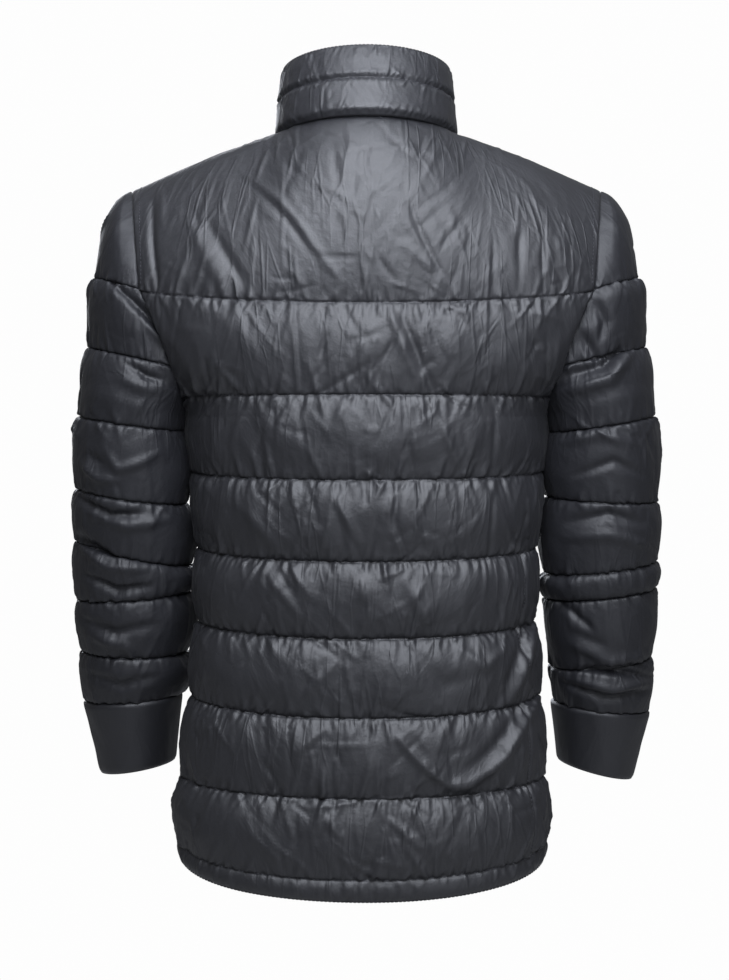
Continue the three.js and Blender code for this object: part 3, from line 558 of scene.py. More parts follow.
@dataclass
class PadSheet:
    """The outer cloth of one padded piece: its grid, where it is sewn down and its fullness."""

    name: str
    base: np.ndarray
    normals: np.ndarray
    crown: np.ndarray
    sewn: np.ndarray
    courses: np.ndarray
    columns: np.ndarray
    breaks: np.ndarray
    wraps: bool
    growth: float = 0.06
    open_until: float = 1e9
    flat_share: float = 1.0

    def start_points(self) -> np.ndarray:
        """Outer points before the cloth is let go."""
        u, v = self.lengths()
        lumps = 0.45 + 0.4 * lattice_noise(u / 30, v / 26, len(self.name) * 13)
        height = SEAM_WALL + np.where(self.sewn, 0, lumps * (self.crown - SEAM_WALL))
        return self.base + self.normals * height[..., None]

    def lengths(self) -> tuple[np.ndarray, np.ndarray]:
        """Distance round and down the cloth at each place, in millimetres."""
        around = np.linalg.norm(np.diff(self.base, axis=1), axis=-1)
        down = np.linalg.norm(np.diff(self.base, axis=0), axis=-1)
        u = np.concatenate((np.zeros((self.base.shape[0], 1)), np.cumsum(around, axis=1)), axis=1)
        v = np.concatenate((np.zeros((1, self.base.shape[1])), np.cumsum(down, axis=0)), axis=0)
        return u - u.mean(axis=1, keepdims=True), v

    def sewn_rows(self) -> tuple[np.ndarray, np.ndarray]:
        """For each row, the numbers of the stitched rows above and below it."""
        rows = np.arange(len(self.courses))
        span = np.clip(np.searchsorted(self.breaks, rows, side="right") - 1, 0, len(self.breaks) - 2)
        return self.breaks[span], self.breaks[span + 1]

    def settled_on(self, coarse: "PadSheet", settled: np.ndarray) -> np.ndarray:
        """Points of this finer grid, from the settled cloth on a coarser one."""
        offset = settled - coarse.base
        rows = np.interp(self.courses, coarse.courses, np.arange(len(coarse.courses)))
        finer = cubic(offset, rows, coarse.breaks)
        columns = np.interp(self.columns, coarse.columns, np.arange(len(coarse.columns)))
        ends = np.array((0, len(coarse.columns) - 1))
        finer = cubic(finer.swapaxes(0, 1), columns, ends).swapaxes(0, 1)
        return self.base + finer


@dataclass
class Gathers:
    """Small folds that the sewing makes: gathers by each stitched line, creases between them."""

    seed: int
    below_height: float = 1.6
    above_height: float = 1.4
    pleat: float = 3.4
    seam_depth: float = 1.5
    pillow: float = 0.7
    overhang: float = 1.6
    spacing: float = 6.5
    long_pleat: float = 42.0
    crease: float = 1.9
    fold_gain: float = 1.3
    crease_count: int = 400
    yoke_crease: float = 0.6
    crease_lean: float = 0.7
    side_seam: float = 0.0
    groove_depth: float = 2.4
    groove_width: float = 1.9
    folds: tuple[Fold, ...] = ()

    def dress(self, sheet: PadSheet, points: np.ndarray) -> np.ndarray:
        """Adds the small folds to a settled cloth.

        Args:
            sheet: the fine grid.
            points: the settled points on it, in millimetres.

        Returns:
            The finished outer points.
        """
        u, v = sheet.lengths()
        first, last = sheet.sewn_rows()
        below, above = v - v[first], v[last] - v
        nearest = np.minimum(below, above)
        sides = np.minimum(u - u[:, :1], u[:, -1:] - u)
        height = self._gathered(u, v, below, self.below_height, self.seed)
        height += self._gathered(u, v, above, self.above_height, self.seed + 11)
        height += self.pillow * (np.exp(-nearest / 14) - np.exp(-nearest / 1.1))
        height -= self.seam_depth * np.exp(-nearest / 0.9)
        height += self._side_gathers(v, sides, nearest)
        height += self._pleats(sheet, u, v)
        creases = self._creases(u, v)
        if sheet.flat_share < 1:
            creases[:sheet.breaks[1]] *= self.yoke_crease
        height += creases
        for fold in self.folds:
            height += self.fold_gain * fold.heights(points[..., (0, 2)])
        if self.side_seam:
            low = slice(sheet.breaks[4], sheet.breaks[8])
            seam = int(np.searchsorted(sheet.columns, self.side_seam))
            beside = (u[low] - u[low, seam:seam + 1]) / self.groove_width
            height[low] -= self.groove_depth * np.exp(-beside ** 2)
        fade = np.clip(sides / 3.0, 0, 1) * np.clip(np.minimum(v, v[-1:] - v) / 3.0, 0, 1)
        narrow = np.clip((v[last] - v[first]) / 40, 0.35, 1)
        if sheet.flat_share < 1:
            height *= 1 - 0.8 * np.exp(-v / 18)
        height *= fade * narrow
        normals = self._normals(sheet, points)
        hang = self.overhang * np.exp(-((above - 6.5) / 5.0) ** 2) * fade * narrow
        moved = points + normals * height[..., None]
        moved[..., 2] -= hang
        return moved

    @staticmethod
    def _normals(sheet: PadSheet, points: np.ndarray) -> np.ndarray:
        """Directions out of the settled cloth."""
        normals = facing(grid_normals(points, sheet.wraps), sheet.normals)
        return unit(normals + 0.4 * sheet.normals)

    def _gathered(self, u: np.ndarray, v: np.ndarray, away: np.ndarray, size: float, seed: int) -> np.ndarray:
        """Gathers that run away from a stitched line and fade."""
        lean = (lattice_noise(u / 60, v / 70, seed + 1) - 0.5) * 1.6
        slanted = u + lean * away
        ridges = 1 - np.abs(2 * lattice_noise(slanted / self.spacing, v / 60, seed + 2) - 1)
        fine = 1 - np.abs(2 * lattice_noise(slanted / (0.55 * self.spacing), v / 40, seed + 3) - 1)
        reach = 3.5 + 22 * lattice_noise(u / 17, v / 90, seed + 4) ** 2
        envelope = (1 - np.exp(-away / 1.3)) * np.exp(-away / reach)
        near = (1 - np.exp(-away / 0.8)) * np.exp(-away / 4.5)
        return size * (envelope * (ridges ** 1.5 - 0.4) + 0.5 * near * (fine - 0.5))

    def _side_gathers(self, v: np.ndarray, sides: np.ndarray, nearest: np.ndarray) -> np.ndarray:
        """Shorter gathers along the side seams and armholes."""
        ridges = 1 - np.abs(2 * lattice_noise(v / 7 + sides / 20, sides / 30, self.seed + 5) - 1)
        envelope = (1 - np.exp(-sides / 1.5)) * np.exp(-sides / 8)
        return 1.6 * envelope * np.clip(nearest / 6, 0, 1) * (ridges - 0.4)

    def _pleats(self, sheet: PadSheet, u: np.ndarray, v: np.ndarray) -> np.ndarray:
        """Small pleats that start at the stitched lines, most of them short, some long and leaning."""
        chance = np.random.RandomState(self.seed + 7)
        height = np.zeros_like(u)
        for line in sheet.breaks:
            for way in (1, -1):
                if line == (0 if way < 0 or sheet.flat_share < 1 else sheet.breaks[-1]):
                    continue
                if line == sheet.breaks[-1] and way > 0:
                    continue
                place = u[line, 0] + 3
                while place < u[line, -1] - 3:
                    self._add_pleat(height, u, v, int(line), way, place, chance)
                    place += self.spacing * chance.uniform(0.35, 1.5)
        return height

    def _add_pleat(self, height: np.ndarray, u: np.ndarray, v: np.ndarray, line: int, way: int, place: float,
                   chance: np.random.RandomState) -> None:
        """Adds one pleat to the heights, down or up from a stitched line."""
        shortened = min(1.0, self.long_pleat / 20)
        length = 5 + 10 * chance.rand() * shortened + self.long_pleat * chance.rand() ** 5
        lean = chance.normal(0.12 * way, 0.36)
        width = chance.uniform(1.2, 2.3) * min(1.0, self.spacing / 6.5)
        size = self.pleat * chance.uniform(0.35, 1.0)
        reach = length * abs(lean) + 4 * width
        columns = slice(*np.searchsorted(u[line], (place - reach, place + reach)))
        down = v[:, np.clip(np.searchsorted(u[line], place), 0, u.shape[1] - 1)]
        ends = sorted((down[line], down[line] + way * length))
        rows = slice(max(np.searchsorted(down, ends[0]), 0), np.searchsorted(down, ends[1]) + 1)
        away_line = np.abs(v[rows, columns] - v[line, columns])
        along = np.clip(away_line / length, 0, 1)
        off = u[rows, columns] - place - lean * away_line
        spread = width * (1 + 0.9 * along)
        rise = (1 - np.exp(-away_line / 1.3)) * (1 - along) ** 1.2
        height[rows, columns] += size * rise * (np.exp(-(off / spread) ** 2) - 0.25)

    def _creases(self, u: np.ndarray, v: np.ndarray) -> np.ndarray:
        """Straight creases of thin cloth, seeded, mostly up and down with a lean."""
        chance = np.random.RandomState(self.seed)
        height = np.zeros_like(u)
        mid_u, mid_v = u[len(u) // 2], v[:, v.shape[1] // 2]
        for _ in range(self.crease_count):
            across, down = chance.uniform(mid_u[0], mid_u[-1]), chance.uniform(0, mid_v[-1])
            lean = chance.normal(0, self.crease_lean)
            half = chance.uniform(8, 34)
            width = chance.uniform(1.2, 2.8)
            size = self.crease * chance.uniform(0.2, 1.0) * chance.choice((-1.0, 1.0))
            reach = half * abs(math.sin(lean)) + 4 * width + 6
            rows = slice(*np.searchsorted(mid_v, (down - half, down + half)))
            columns = slice(*np.searchsorted(mid_u, (across - reach, across + reach)))
            du, dv = u[rows, columns] - across, v[rows, columns] - down
            away = du * math.cos(lean) - dv * math.sin(lean)
            along = np.clip((du * math.sin(lean) + dv * math.cos(lean)) / half, -1, 1)
            beside = np.exp(-np.abs(away / width) ** 1.5)
            height[rows, columns] += size * np.cos(along * np.pi / 2) ** 0.8 * beside
        return height


def add_piece(name: str, bm: bmesh.types.BMesh, smooth: bool = False) -> bpy.types.Object:
    """Turns a finished mesh into an object of the scene.

    Args:
        name: the name of the object and its mesh.
        bm: the mesh, which is freed.
        smooth: whether its faces are shaded as one smooth surface.

    Returns:
        The new object, at the origin.
    """
    mesh = bpy.data.meshes.new(name)
    for face in bm.faces:
        face.smooth = smooth
    bm.to_mesh(mesh)
    bm.free()
    piece = bpy.data.objects.new(name, mesh)
    bpy.context.scene.collection.objects.link(piece)
    return piece


def add_grid(bm: bmesh.types.BMesh, points: np.ndarray) -> np.ndarray:
    """Adds a grid of faces.

    Args:
        bm: the mesh.
        points: rows by columns of places in millimetres.

    Returns:
        The grid's vertices, by row and column.
    """
    rows, columns = points.shape[:2]
    made = bmesh.ops.create_grid(bm, x_segments=columns - 1, y_segments=rows - 1, size=0.5)
    verts = np.empty((rows, columns), dtype=object)
    for vert in made["verts"]:
        column = round((vert.co.x + 0.5) * (columns - 1))
        row = round((vert.co.y + 0.5) * (rows - 1))
        vert.co = Vector(points[row, column]) * MM
        verts[row, column] = vert
    return verts


def sheet_mesh(sheet: PadSheet, points: np.ndarray) -> bpy.types.Object:
    """Makes the grid of one piece's outer cloth.

    Args:
        sheet: the piece.
        points: rows by columns of places in millimetres.

    Returns:
        The new object, with its vertices in the order of the grid.
    """
    rows, columns = points.shape[:2]
    bm = bmesh.new()
    for number, vert in enumerate(add_grid(bm, points).ravel()):
        vert.index = number
    bm.verts.sort()
    bm.faces.ensure_lookup_table()
    middle = bm.faces[len(bm.faces) // 2]
    middle.normal_update()
    row, column = rows // 2, columns // 2
    if middle.normal.dot(Vector(sheet.normals[row, column])) < 0:
        bmesh.ops.reverse_faces(bm, faces=bm.faces)
    return add_piece(sheet.name, bm)


@dataclass
class Settling:
    """Lets the outer cloths billow between their stitched lines, all together."""

    frames: int = 22
    pressure: float = 5.0
    stiffness: float = 18.0
    bending: float = 0.25
    weight: float = 0.05
    keep: float = 0.4
    free_rise: float = 15.0
    most_rise: float = 8.0
    most_slide: float = 7.0

    def run(self, sheets: list[PadSheet]) -> dict[str, np.ndarray]:
        """Settles the cloths.

        Args:
            sheets: the padded pieces' outer cloths.

        Returns:
            The settled points of each, in millimetres, by name.
        """
        starts = {sheet.name: sheet.start_points() for sheet in sheets}
        trials = [self._pinned(sheet, starts[sheet.name]) for sheet in sheets]
        for number in range(1, self.frames + 1):
            bpy.context.scene.frame_set(number)
        graph = bpy.context.evaluated_depsgraph_get()
        settled = {}
        for sheet, trial in zip(sheets, trials):
            mesh = trial.evaluated_get(graph).to_mesh()
            flat = np.empty(len(mesh.vertices) * 3)
            mesh.vertices.foreach_get("co", flat)
            moved = flat.reshape(sheet.base.shape) / MM
            settled[sheet.name] = self._capped(sheet, moved)
        for trial in trials:
            bpy.data.objects.remove(trial, do_unlink=True)
        bpy.context.scene.frame_set(1)
        return settled

    def _pinned(self, sheet: PadSheet, points: np.ndarray) -> bpy.types.Object:
        """Trial copy of a cloth with its stitched places pinned and the cloth settings on."""
        trial = sheet_mesh(sheet, points)
        pins = trial.vertex_groups.new(name="sewn")
        pins.add([int(i) for i in np.flatnonzero(sheet.sewn.ravel())], 1.0, "REPLACE")
        cloth = trial.modifiers.new("billow", "CLOTH")
        settings = cloth.settings
        settings.quality = 5
        settings.mass = 0.2
        settings.tension_stiffness = self.stiffness
        settings.compression_stiffness = self.stiffness
        settings.shear_stiffness = self.stiffness * 0.4
        settings.bending_stiffness = self.bending
        settings.tension_damping = 8
        settings.air_damping = 2
        settings.use_pressure = True
        settings.uniform_pressure_force = self.pressure
        slack = trial.vertex_groups.new(name="slack")
        uneven = self._slack(sheet)
        for number, value in enumerate(uneven.ravel()):
            slack.add([number], float(value), "REPLACE")
        settings.vertex_group_shrink = slack.name
        settings.shrink_min = 0.0
        settings.shrink_max = -sheet.growth
        settings.vertex_group_mass = pins.name
        settings.effector_weights.gravity = self.weight
        cloth.collision_settings.use_collision = False
        cloth.point_cache.frame_start = 1
        cloth.point_cache.frame_end = self.frames
        return trial

    @staticmethod
    def _slack(sheet: PadSheet) -> np.ndarray:
        """Share of the full slack at each place, patchy, and small where the cloth lies flat."""
        u, v = sheet.lengths()
        patchy = 0.35 + 1.1 * lattice_noise(u / 46 + 3, v / 34, len(sheet.name) * 7)
        flat = np.where(sheet.courses < 1.0, sheet.flat_share, 1.0)[:, None]
        return np.clip(patchy * flat, 0, 1)

    def _capped(self, sheet: PadSheet, moved: np.ndarray) -> np.ndarray:
        """Settled points held within a little of the crown, above the inner face."""
        offset = moved - sheet.base
        height = np.sum(offset * sheet.normals, axis=-1)
        slide = offset - sheet.normals * height[..., None]
        length = np.linalg.norm(slide, axis=-1, keepdims=True)
        slide = 0.6 * slide * np.minimum(1, self.most_slide / np.maximum(length, 1e-6))
        over = np.maximum(height - self.free_rise, 0) / self.most_rise
        height = np.where(over > 0, self.free_rise + self.most_rise * np.tanh(over), np.maximum(height, 1.2))
        u, v = sheet.lengths()
        uneven = 0.8 + 0.4 * lattice_noise(u / 38, v / 60, len(sheet.name) * 5)
        full = SEAM_WALL + (sheet.crown - SEAM_WALL) * np.where(sheet.sewn, 1, uneven)
        height = self.keep * height + (1 - self.keep) * full
        return self._smoothed(sheet, sheet.base + slide + sheet.normals * height[..., None])

    @staticmethod
    def _smoothed(sheet: PadSheet, points: np.ndarray) -> np.ndarray:
        """Takes the ridges below the neck's corner and beside the armhole's foot out of a body panel."""
        if sheet.wraps or sheet.breaks[-1] < 60:
            return points
        soft = points.copy()
        for _ in range(40):
            soft[:, 1:-1] = 0.25 * (soft[:, :-2] + soft[:, 2:]) + 0.5 * soft[:, 1:-1]
        share = np.clip(sheet.courses, 0, 1)
        weight = np.clip(6 * share * (1 - share), 0, 1)[:, None, None]
        points = points * (1 - weight) + soft * weight
        free = ~sheet.sewn[1:-1, :, None]
        for _ in range(5):
            between = 0.25 * (points[:-2] + points[2:]) + 0.5 * points[1:-1]
            points[1:-1] = np.where(free, between, points[1:-1])
        return points


def course_rows(spans: list[tuple[float, float, float]], step: float,
                crowd: float = 0.0) -> tuple[np.ndarray, np.ndarray]:
    """Courses of a grid's rows, with a row on each stitched line.

    Args:
        spans: start, end and length in millimetres of each stretch between stitched lines.
        step: the wanted distance between rows.
        crowd: how far the rows draw towards the stitched lines, from 0 to 1.

    Returns:
        The courses, and the numbers of the rows on stitched lines.
    """
    courses, breaks = [], [0]
    for start, end, length in spans:
        count = max(3, round(length / step))
        even = np.arange(count) / count
        share = even - crowd * np.sin(2 * np.pi * even) / (2 * np.pi)
        courses.extend(start + (end - start) * share)
        breaks.append(breaks[-1] + count)
    courses.append(spans[-1][1])
    return np.array(courses), np.array(breaks)


class Pad:
    """A padded piece, whose cloth can be laid out on a coarse or a fine grid."""

    name: str
    wraps = False
    growth = 0.06
    open_until = 1e9
    flat_share = 1.0
    fine_step = FINE_STEP

    def spans(self) -> list[tuple[float, float, float]]:
        """Stretches between stitched lines: start and end course, and length."""
        raise NotImplementedError

    def columns(self, step: float) -> np.ndarray:
        """Places of the columns."""
        raise NotImplementedError

    def place(self, column: np.ndarray, course: np.ndarray) -> np.ndarray:
        """Points of the inner face."""
        raise NotImplementedError

    def directions(self, base: np.ndarray, column: np.ndarray, course: np.ndarray) -> np.ndarray:
        """Directions across the wall."""
        raise NotImplementedError

    def fullness(self, base: np.ndarray, column: np.ndarray, course: np.ndarray) -> np.ndarray:
        """Thickness of the wall."""
        raise NotImplementedError

    def sheet(self, step: float, crowd: float = 0.0) -> PadSheet:
        """Lays the cloth out on a grid.

        Args:
            step: the distance between rows and between columns, in millimetres.
            crowd: how far the rows draw towards the stitched lines.

        Returns:
            The cloth's grid.
        """
        courses, breaks = course_rows(self.spans(), step, crowd)
        if self.wraps:
            courses[np.argmin(np.abs(courses - self.open_until))] = self.open_until
        columns = self.columns(step)
        grid_column, grid_course = np.meshgrid(columns, courses)
        base = self.place(grid_column, grid_course)
        normals = self.directions(base, grid_column, grid_course)
        crown = self.fullness(base, grid_column, grid_course)
        sewn = np.zeros(base.shape[:2], dtype=bool)
        sewn[breaks] = True
        sewn[:, (0, -1)] = True
        return PadSheet(self.name, base, normals, crown, sewn, courses, columns, breaks,
                        self.wraps, self.growth, self.open_until, self.flat_share)


@dataclass
class BodyPanel(Pad):
    """A quilted back or front panel, from the shoulder to the hem."""

    name: str
    face: Face
    start: float
    end: float
    stitched_length: float = 450.0
    flat_share = 0.35

    def spans(self) -> list[tuple[float, float, float]]:
        """Stretches between stitched lines: the yoke, then a channel for each line."""
        centre = BODY_LINES["centre_z"]
        channels = [(1.0 + i, 2.0 + i, float(centre[i] - centre[i + 1])) for i in range(BODY_LAST)]
        return [(0.0, 1.0, 190.0), *channels]

    def columns(self, step: float) -> np.ndarray:
        """Places across the panel, never on the middle line itself."""
        count = round(self.stitched_length * abs(self.end - self.start) / 2 / step)
        across = np.linspace(self.start, self.end, count + 1)
        side = np.sign(self.start + self.end) or 1.0
        return np.where(np.abs(across) < 1e-9, 1e-6 * side, across)

    def place(self, column: np.ndarray, course: np.ndarray) -> np.ndarray:
        """Points of the panel's inner face."""
        return BodyCut.points(self.face, column, course)

    def directions(self, base: np.ndarray, column: np.ndarray, course: np.ndarray) -> np.ndarray:
        """Directions across the wall, with the armhole's and the side seam's at the edges."""
        outward = stack(base[..., 0] * 0.5, self.face.value * 100.0, 20.0)
        normals = facing(grid_normals(base, wraps=False), outward)
        edge = np.clip((np.abs(column) - 0.94) / 0.06, 0, 1)[..., None]
        beside_hole = (base[..., 2] > ARMHOLE["z"][-1])[..., None]
        seam = stack(np.sign(base[..., 0]), 0.0 * base[..., 0], 0.0 * base[..., 0])
        shared = np.where(beside_hole, armhole_normals(base), seam)
        return unit(normals * (1 - edge) + shared * edge)

    def fullness(self, base: np.ndarray, column: np.ndarray, course: np.ndarray) -> np.ndarray:
        """Thickness of the wall at each place."""
        reach = np.abs(column)
        pressed = np.clip(1 - np.abs(base[..., 2] + 350) / 110, 0, 1) * reach ** 6
        side = BODY_CROWN + (SIDE_CROWN - BODY_CROWN) * reach ** 4
        crown = side + (PRESSED_CROWN - side) * pressed
        fullness = np.sin(np.pi * np.clip(course, 0, 1) ** 1.1) ** 0.5
        yoke = SEAM_WALL + (crown - SEAM_WALL - 3) * fullness
        hem = np.where(course >= BODY_LAST, 0.45, 1.0)
        below = SEAM_WALL + (crown - SEAM_WALL) * puff(np.mod(course, 1)) * hem
        return np.where(course < 1, yoke, below)


@dataclass
class Sleeve(Pad):
    """A quilted sleeve, from the armhole to the cuff seam."""

    name: str
    side: Side
    girth: float = 340.0
    touching: float = 17.0
    touching_low: float = 16.0
    wraps = True
    open_until = ARMHOLE_STEPS

    def spans(self) -> list[tuple[float, float, float]]:
        """Stretches between stitched lines, first the cap's two."""
        half = YOKE_STEPS + 3
        spans = [(0.0, YOKE_STEPS, 100.0), (YOKE_STEPS, half, 70.0), (half, ARMHOLE_STEPS + 1, 68.0)]
        far = SLEEVE_LINES[self.side.name.lower() + "_far"]
        for line in range(1, CUFF_LINE):
            spans.append((ARMHOLE_STEPS + line, ARMHOLE_STEPS + line + 1, float(far[line] - far[line + 1])))
        return spans

    def columns(self, step: float) -> np.ndarray:
        """Places round the sleeve, the first and last both on its seam."""
        return np.linspace(0, 1, round(self.girth / step) + 1)

    def place(self, column: np.ndarray, course: np.ndarray) -> np.ndarray:
        """Points of the sleeve's inner face."""
        base = SleeveCut.points(self.side, column, course)
        base[0] += np.array((SEAM_GAP, 0, 0))
        return base * self._mirror()

    def _mirror(self) -> np.ndarray:
        """Turns the wearer's left into the right."""
        return np.array((self.side.value, 1, 1))

    def directions(self, base: np.ndarray, column: np.ndarray, course: np.ndarray) -> np.ndarray:
        """Directions across the wall, with the armhole's at the cap's edges."""
        base = base * self._mirror()
        cap = course <= ARMHOLE_STEPS
        centre_x = np.where(cap, 190.0, 231.0)
        centre_y = np.where(cap, 0.0, -20.0 * np.clip((course - 12) / 3, 0, 1))
        outward = stack(base[..., 0] - centre_x, base[..., 1] - centre_y, 0.0 * centre_x)
        normals = facing(grid_normals(base, wraps=True), outward)
        beside = np.clip(1 - np.minimum(column, 1 - column) * self.girth / 13, 0, 1)
        weight = beside * np.clip(ARMHOLE_STEPS + 0.6 - course, 0, 1)
        weight = np.maximum(weight, np.clip(1 - course / 0.5, 0, 1))[..., None]
        return unit(normals * (1 - weight) + armhole_normals(base) * weight) * self._mirror()

    def fullness(self, base: np.ndarray, column: np.ndarray, course: np.ndarray) -> np.ndarray:
        """Thickness of the wall at each place."""
        edge = np.minimum(column, 1 - column)
        near_body = np.clip(1 - edge / 0.16, 0, 1)
        near_top = np.clip(course / 3, 0, 1)
        tube_share = np.clip(course - ARMHOLE_STEPS, 0, 1)
        lower = np.clip((course - ARMHOLE_STEPS - 2) / 3, 0, 1)
        touching = self.touching + (self.touching_low - self.touching) * lower
        beside_body = PRESSED_CROWN - 2 + (touching - PRESSED_CROWN + 2) * tube_share
        crown = SLEEVE_CROWN + (beside_body - SLEEVE_CROWN) * near_body
        bounds = np.array((0, YOKE_STEPS, YOKE_STEPS + 3, ARMHOLE_STEPS + 1), dtype=float)
        number = np.clip(np.searchsorted(bounds, course, side="right") - 1, 0, 2)
        within = (course - bounds[number]) / (bounds[number + 1] - bounds[number])
        beside = np.clip(edge / 0.12, 0, 1)
        cap = SEAM_WALL + (crown - SEAM_WALL) * puff(within) * beside * near_top
        tube = SEAM_WALL + (crown - SEAM_WALL) * puff(np.mod(course, 1))
        return np.where(course < ARMHOLE_STEPS + 1, cap, tube)


@dataclass
class Collar(Pad):
    """The stand collar, sewn down along one line above its lower band."""

    name: str = "collar_padded"
    girth: float = 480.0
    growth = 0.04
    fine_step = 1.2

    def spans(self) -> list[tuple[float, float, float]]:
        """The lower band, then the part above the stitched line."""
        return [(0.0, COLLAR_STITCH, 38.0), (COLLAR_STITCH, 1.0, 34.0)]

    def columns(self, step: float) -> np.ndarray:
        """Places from the left front edge round the back to the right."""
        return np.linspace(0, 1, 2 * round(self.girth / step / 2) + 2)

    def place(self, column: np.ndarray, course: np.ndarray) -> np.ndarray:
        """Points of the collar's inner face."""
        side = np.where(column < 0.5, 1.0, -1.0)
        quarter = np.where(column < 0.5, column, 1 - column) * 4
        is_front = quarter < 1
        share = np.where(is_front, quarter, 2 - quarter)
        across = np.maximum(NECK_SHARE * share, 1e-6) * side
        foot = np.where(is_front[..., None], BodyCut.top(Face.FRONT, across), BodyCut.top(Face.BACK, across))
        angle = share * (np.pi / 2)
        centre = np.where(is_front, FRONT_EDGE, 0.0)
        x = side * (centre + (COLLAR_RADIUS["side"] - centre) * np.sin(angle))
        radius = np.where(is_front, -COLLAR_RADIUS["front"], COLLAR_RADIUS["back"])
        level = np.where(is_front, COLLAR_TOP["front"], COLLAR_TOP["back"])
        z = COLLAR_TOP["side"] + (level - COLLAR_TOP["side"]) * np.cos(angle)
        top = stack(x, radius * np.cos(angle), z)
        return foot + (top - foot) * course[..., None]

    def directions(self, base: np.ndarray, column: np.ndarray, course: np.ndarray) -> np.ndarray:
        """Directions across the wall, away from the neck."""
        return facing(grid_normals(base, wraps=False), stack(base[..., 0], base[..., 1], 0.0 * base[..., 0]))

    def fullness(self, base: np.ndarray, column: np.ndarray, course: np.ndarray) -> np.ndarray:
        """Thickness of the wall at each place, fullest in the lower band at the back."""
        to_back = 1 - np.abs(2 * column - 1)
        full = 0.1 + 0.9 * np.clip((to_back - 0.36) / 0.34, 0, 1)
        heights = (0, 0.08, 0.3, 0.47, COLLAR_STITCH, 0.57, 0.85, 1)
        band = np.interp(course, heights, (13, 17, 15, 13.4, 13.0, 12.8, 9.5, 5))
        return COLLAR_WALL + (band - COLLAR_WALL) * full


@dataclass
class WallBuilder:
    """Closes a settled outer cloth with a plain inner face, and gives it its lengths as a UV map and smooth
    shading.
    """

    coarse: int = 9

    def build(self, sheet: PadSheet, outer: np.ndarray) -> bpy.types.Object:
        """Makes the finished padded piece.

        Args:
            sheet: the piece's cloth.
            outer: its settled outer points in millimetres.

        Returns:
            The finished object.
        """
        rows, columns = outer.shape[:2]
        piece = sheet_mesh(sheet, outer)
        self._write_uv(piece.data, sheet)
        bm = bmesh.new()
        bm.from_mesh(piece.data)
        skin = np.array(bm.verts[:], dtype=object).reshape(rows, columns)
        fork = int(np.flatnonzero(sheet.courses <= sheet.open_until)[-1])
        row_picks = np.union1d(self._picks(rows), (fork,))
        column_picks = self._picks(columns)
        lining = add_grid(bm, sheet.base[np.ix_(row_picks, column_picks)])
        apart = row_picks[row_picks <= fork]
        pointed = float(np.ptp(sheet.base[0], axis=0).max()) < 0.01
        for end in (0, -1):
            if end or not pointed:
                self._close(bm, skin[end], lining[end], column_picks)
            self._close(bm, skin[:, end], lining[:len(apart), end], apart)
        if sheet.wraps:
            seams = [*skin[:, 0], *skin[:, -1], *lining[:, 0], *lining[:, -1]]
            poles = [*skin[0], *lining[0]] if pointed else []
            bmesh.ops.remove_doubles(bm, verts=list(dict.fromkeys(seams + poles)), dist=1e-6)
        bmesh.ops.recalc_face_normals(bm, faces=bm.faces)
        for face in bm.faces:
            face.smooth = True
        bm.to_mesh(piece.data)
        bm.free()
        return piece

    def _picks(self, count: int) -> np.ndarray:
        """Numbers of the rows or columns that the inner face keeps, both ends among them."""
        return np.unique(np.round(np.linspace(0, count - 1, max(4, count // self.coarse))).astype(int))

    @staticmethod
    def _close(bm: bmesh.types.BMesh, skin: np.ndarray, lining: np.ndarray, picks: np.ndarray) -> None:
        """Joins one side of the skin with the lining's, a stretch at a time."""
        for number in range(len(lining) - 1):
            run = skin[picks[number]:picks[number + 1] + 1]
            edges = [bm.edges.get((first, second)) for first, second in zip(run, run[1:])]
            edges.append(bm.edges.get((lining[number], lining[number + 1])))
            bmesh.ops.bridge_loops(bm, edges=edges)

    @staticmethod
    def _write_uv(mesh: bpy.types.Mesh, sheet: PadSheet) -> None:
        """Writes the cloth's own lengths, in metres, as its UV map."""
        u, v = sheet.lengths()
        layer = mesh.uv_layers.new(name="cloth")
        corners = np.empty(len(mesh.loops), dtype=np.int64)
        mesh.loops.foreach_get("vertex_index", corners)
        values = np.stack((u.ravel()[corners], v.ravel()[corners]), axis=-1) * MM
        layer.data.foreach_set("uv", values.astype(np.float32).ravel())


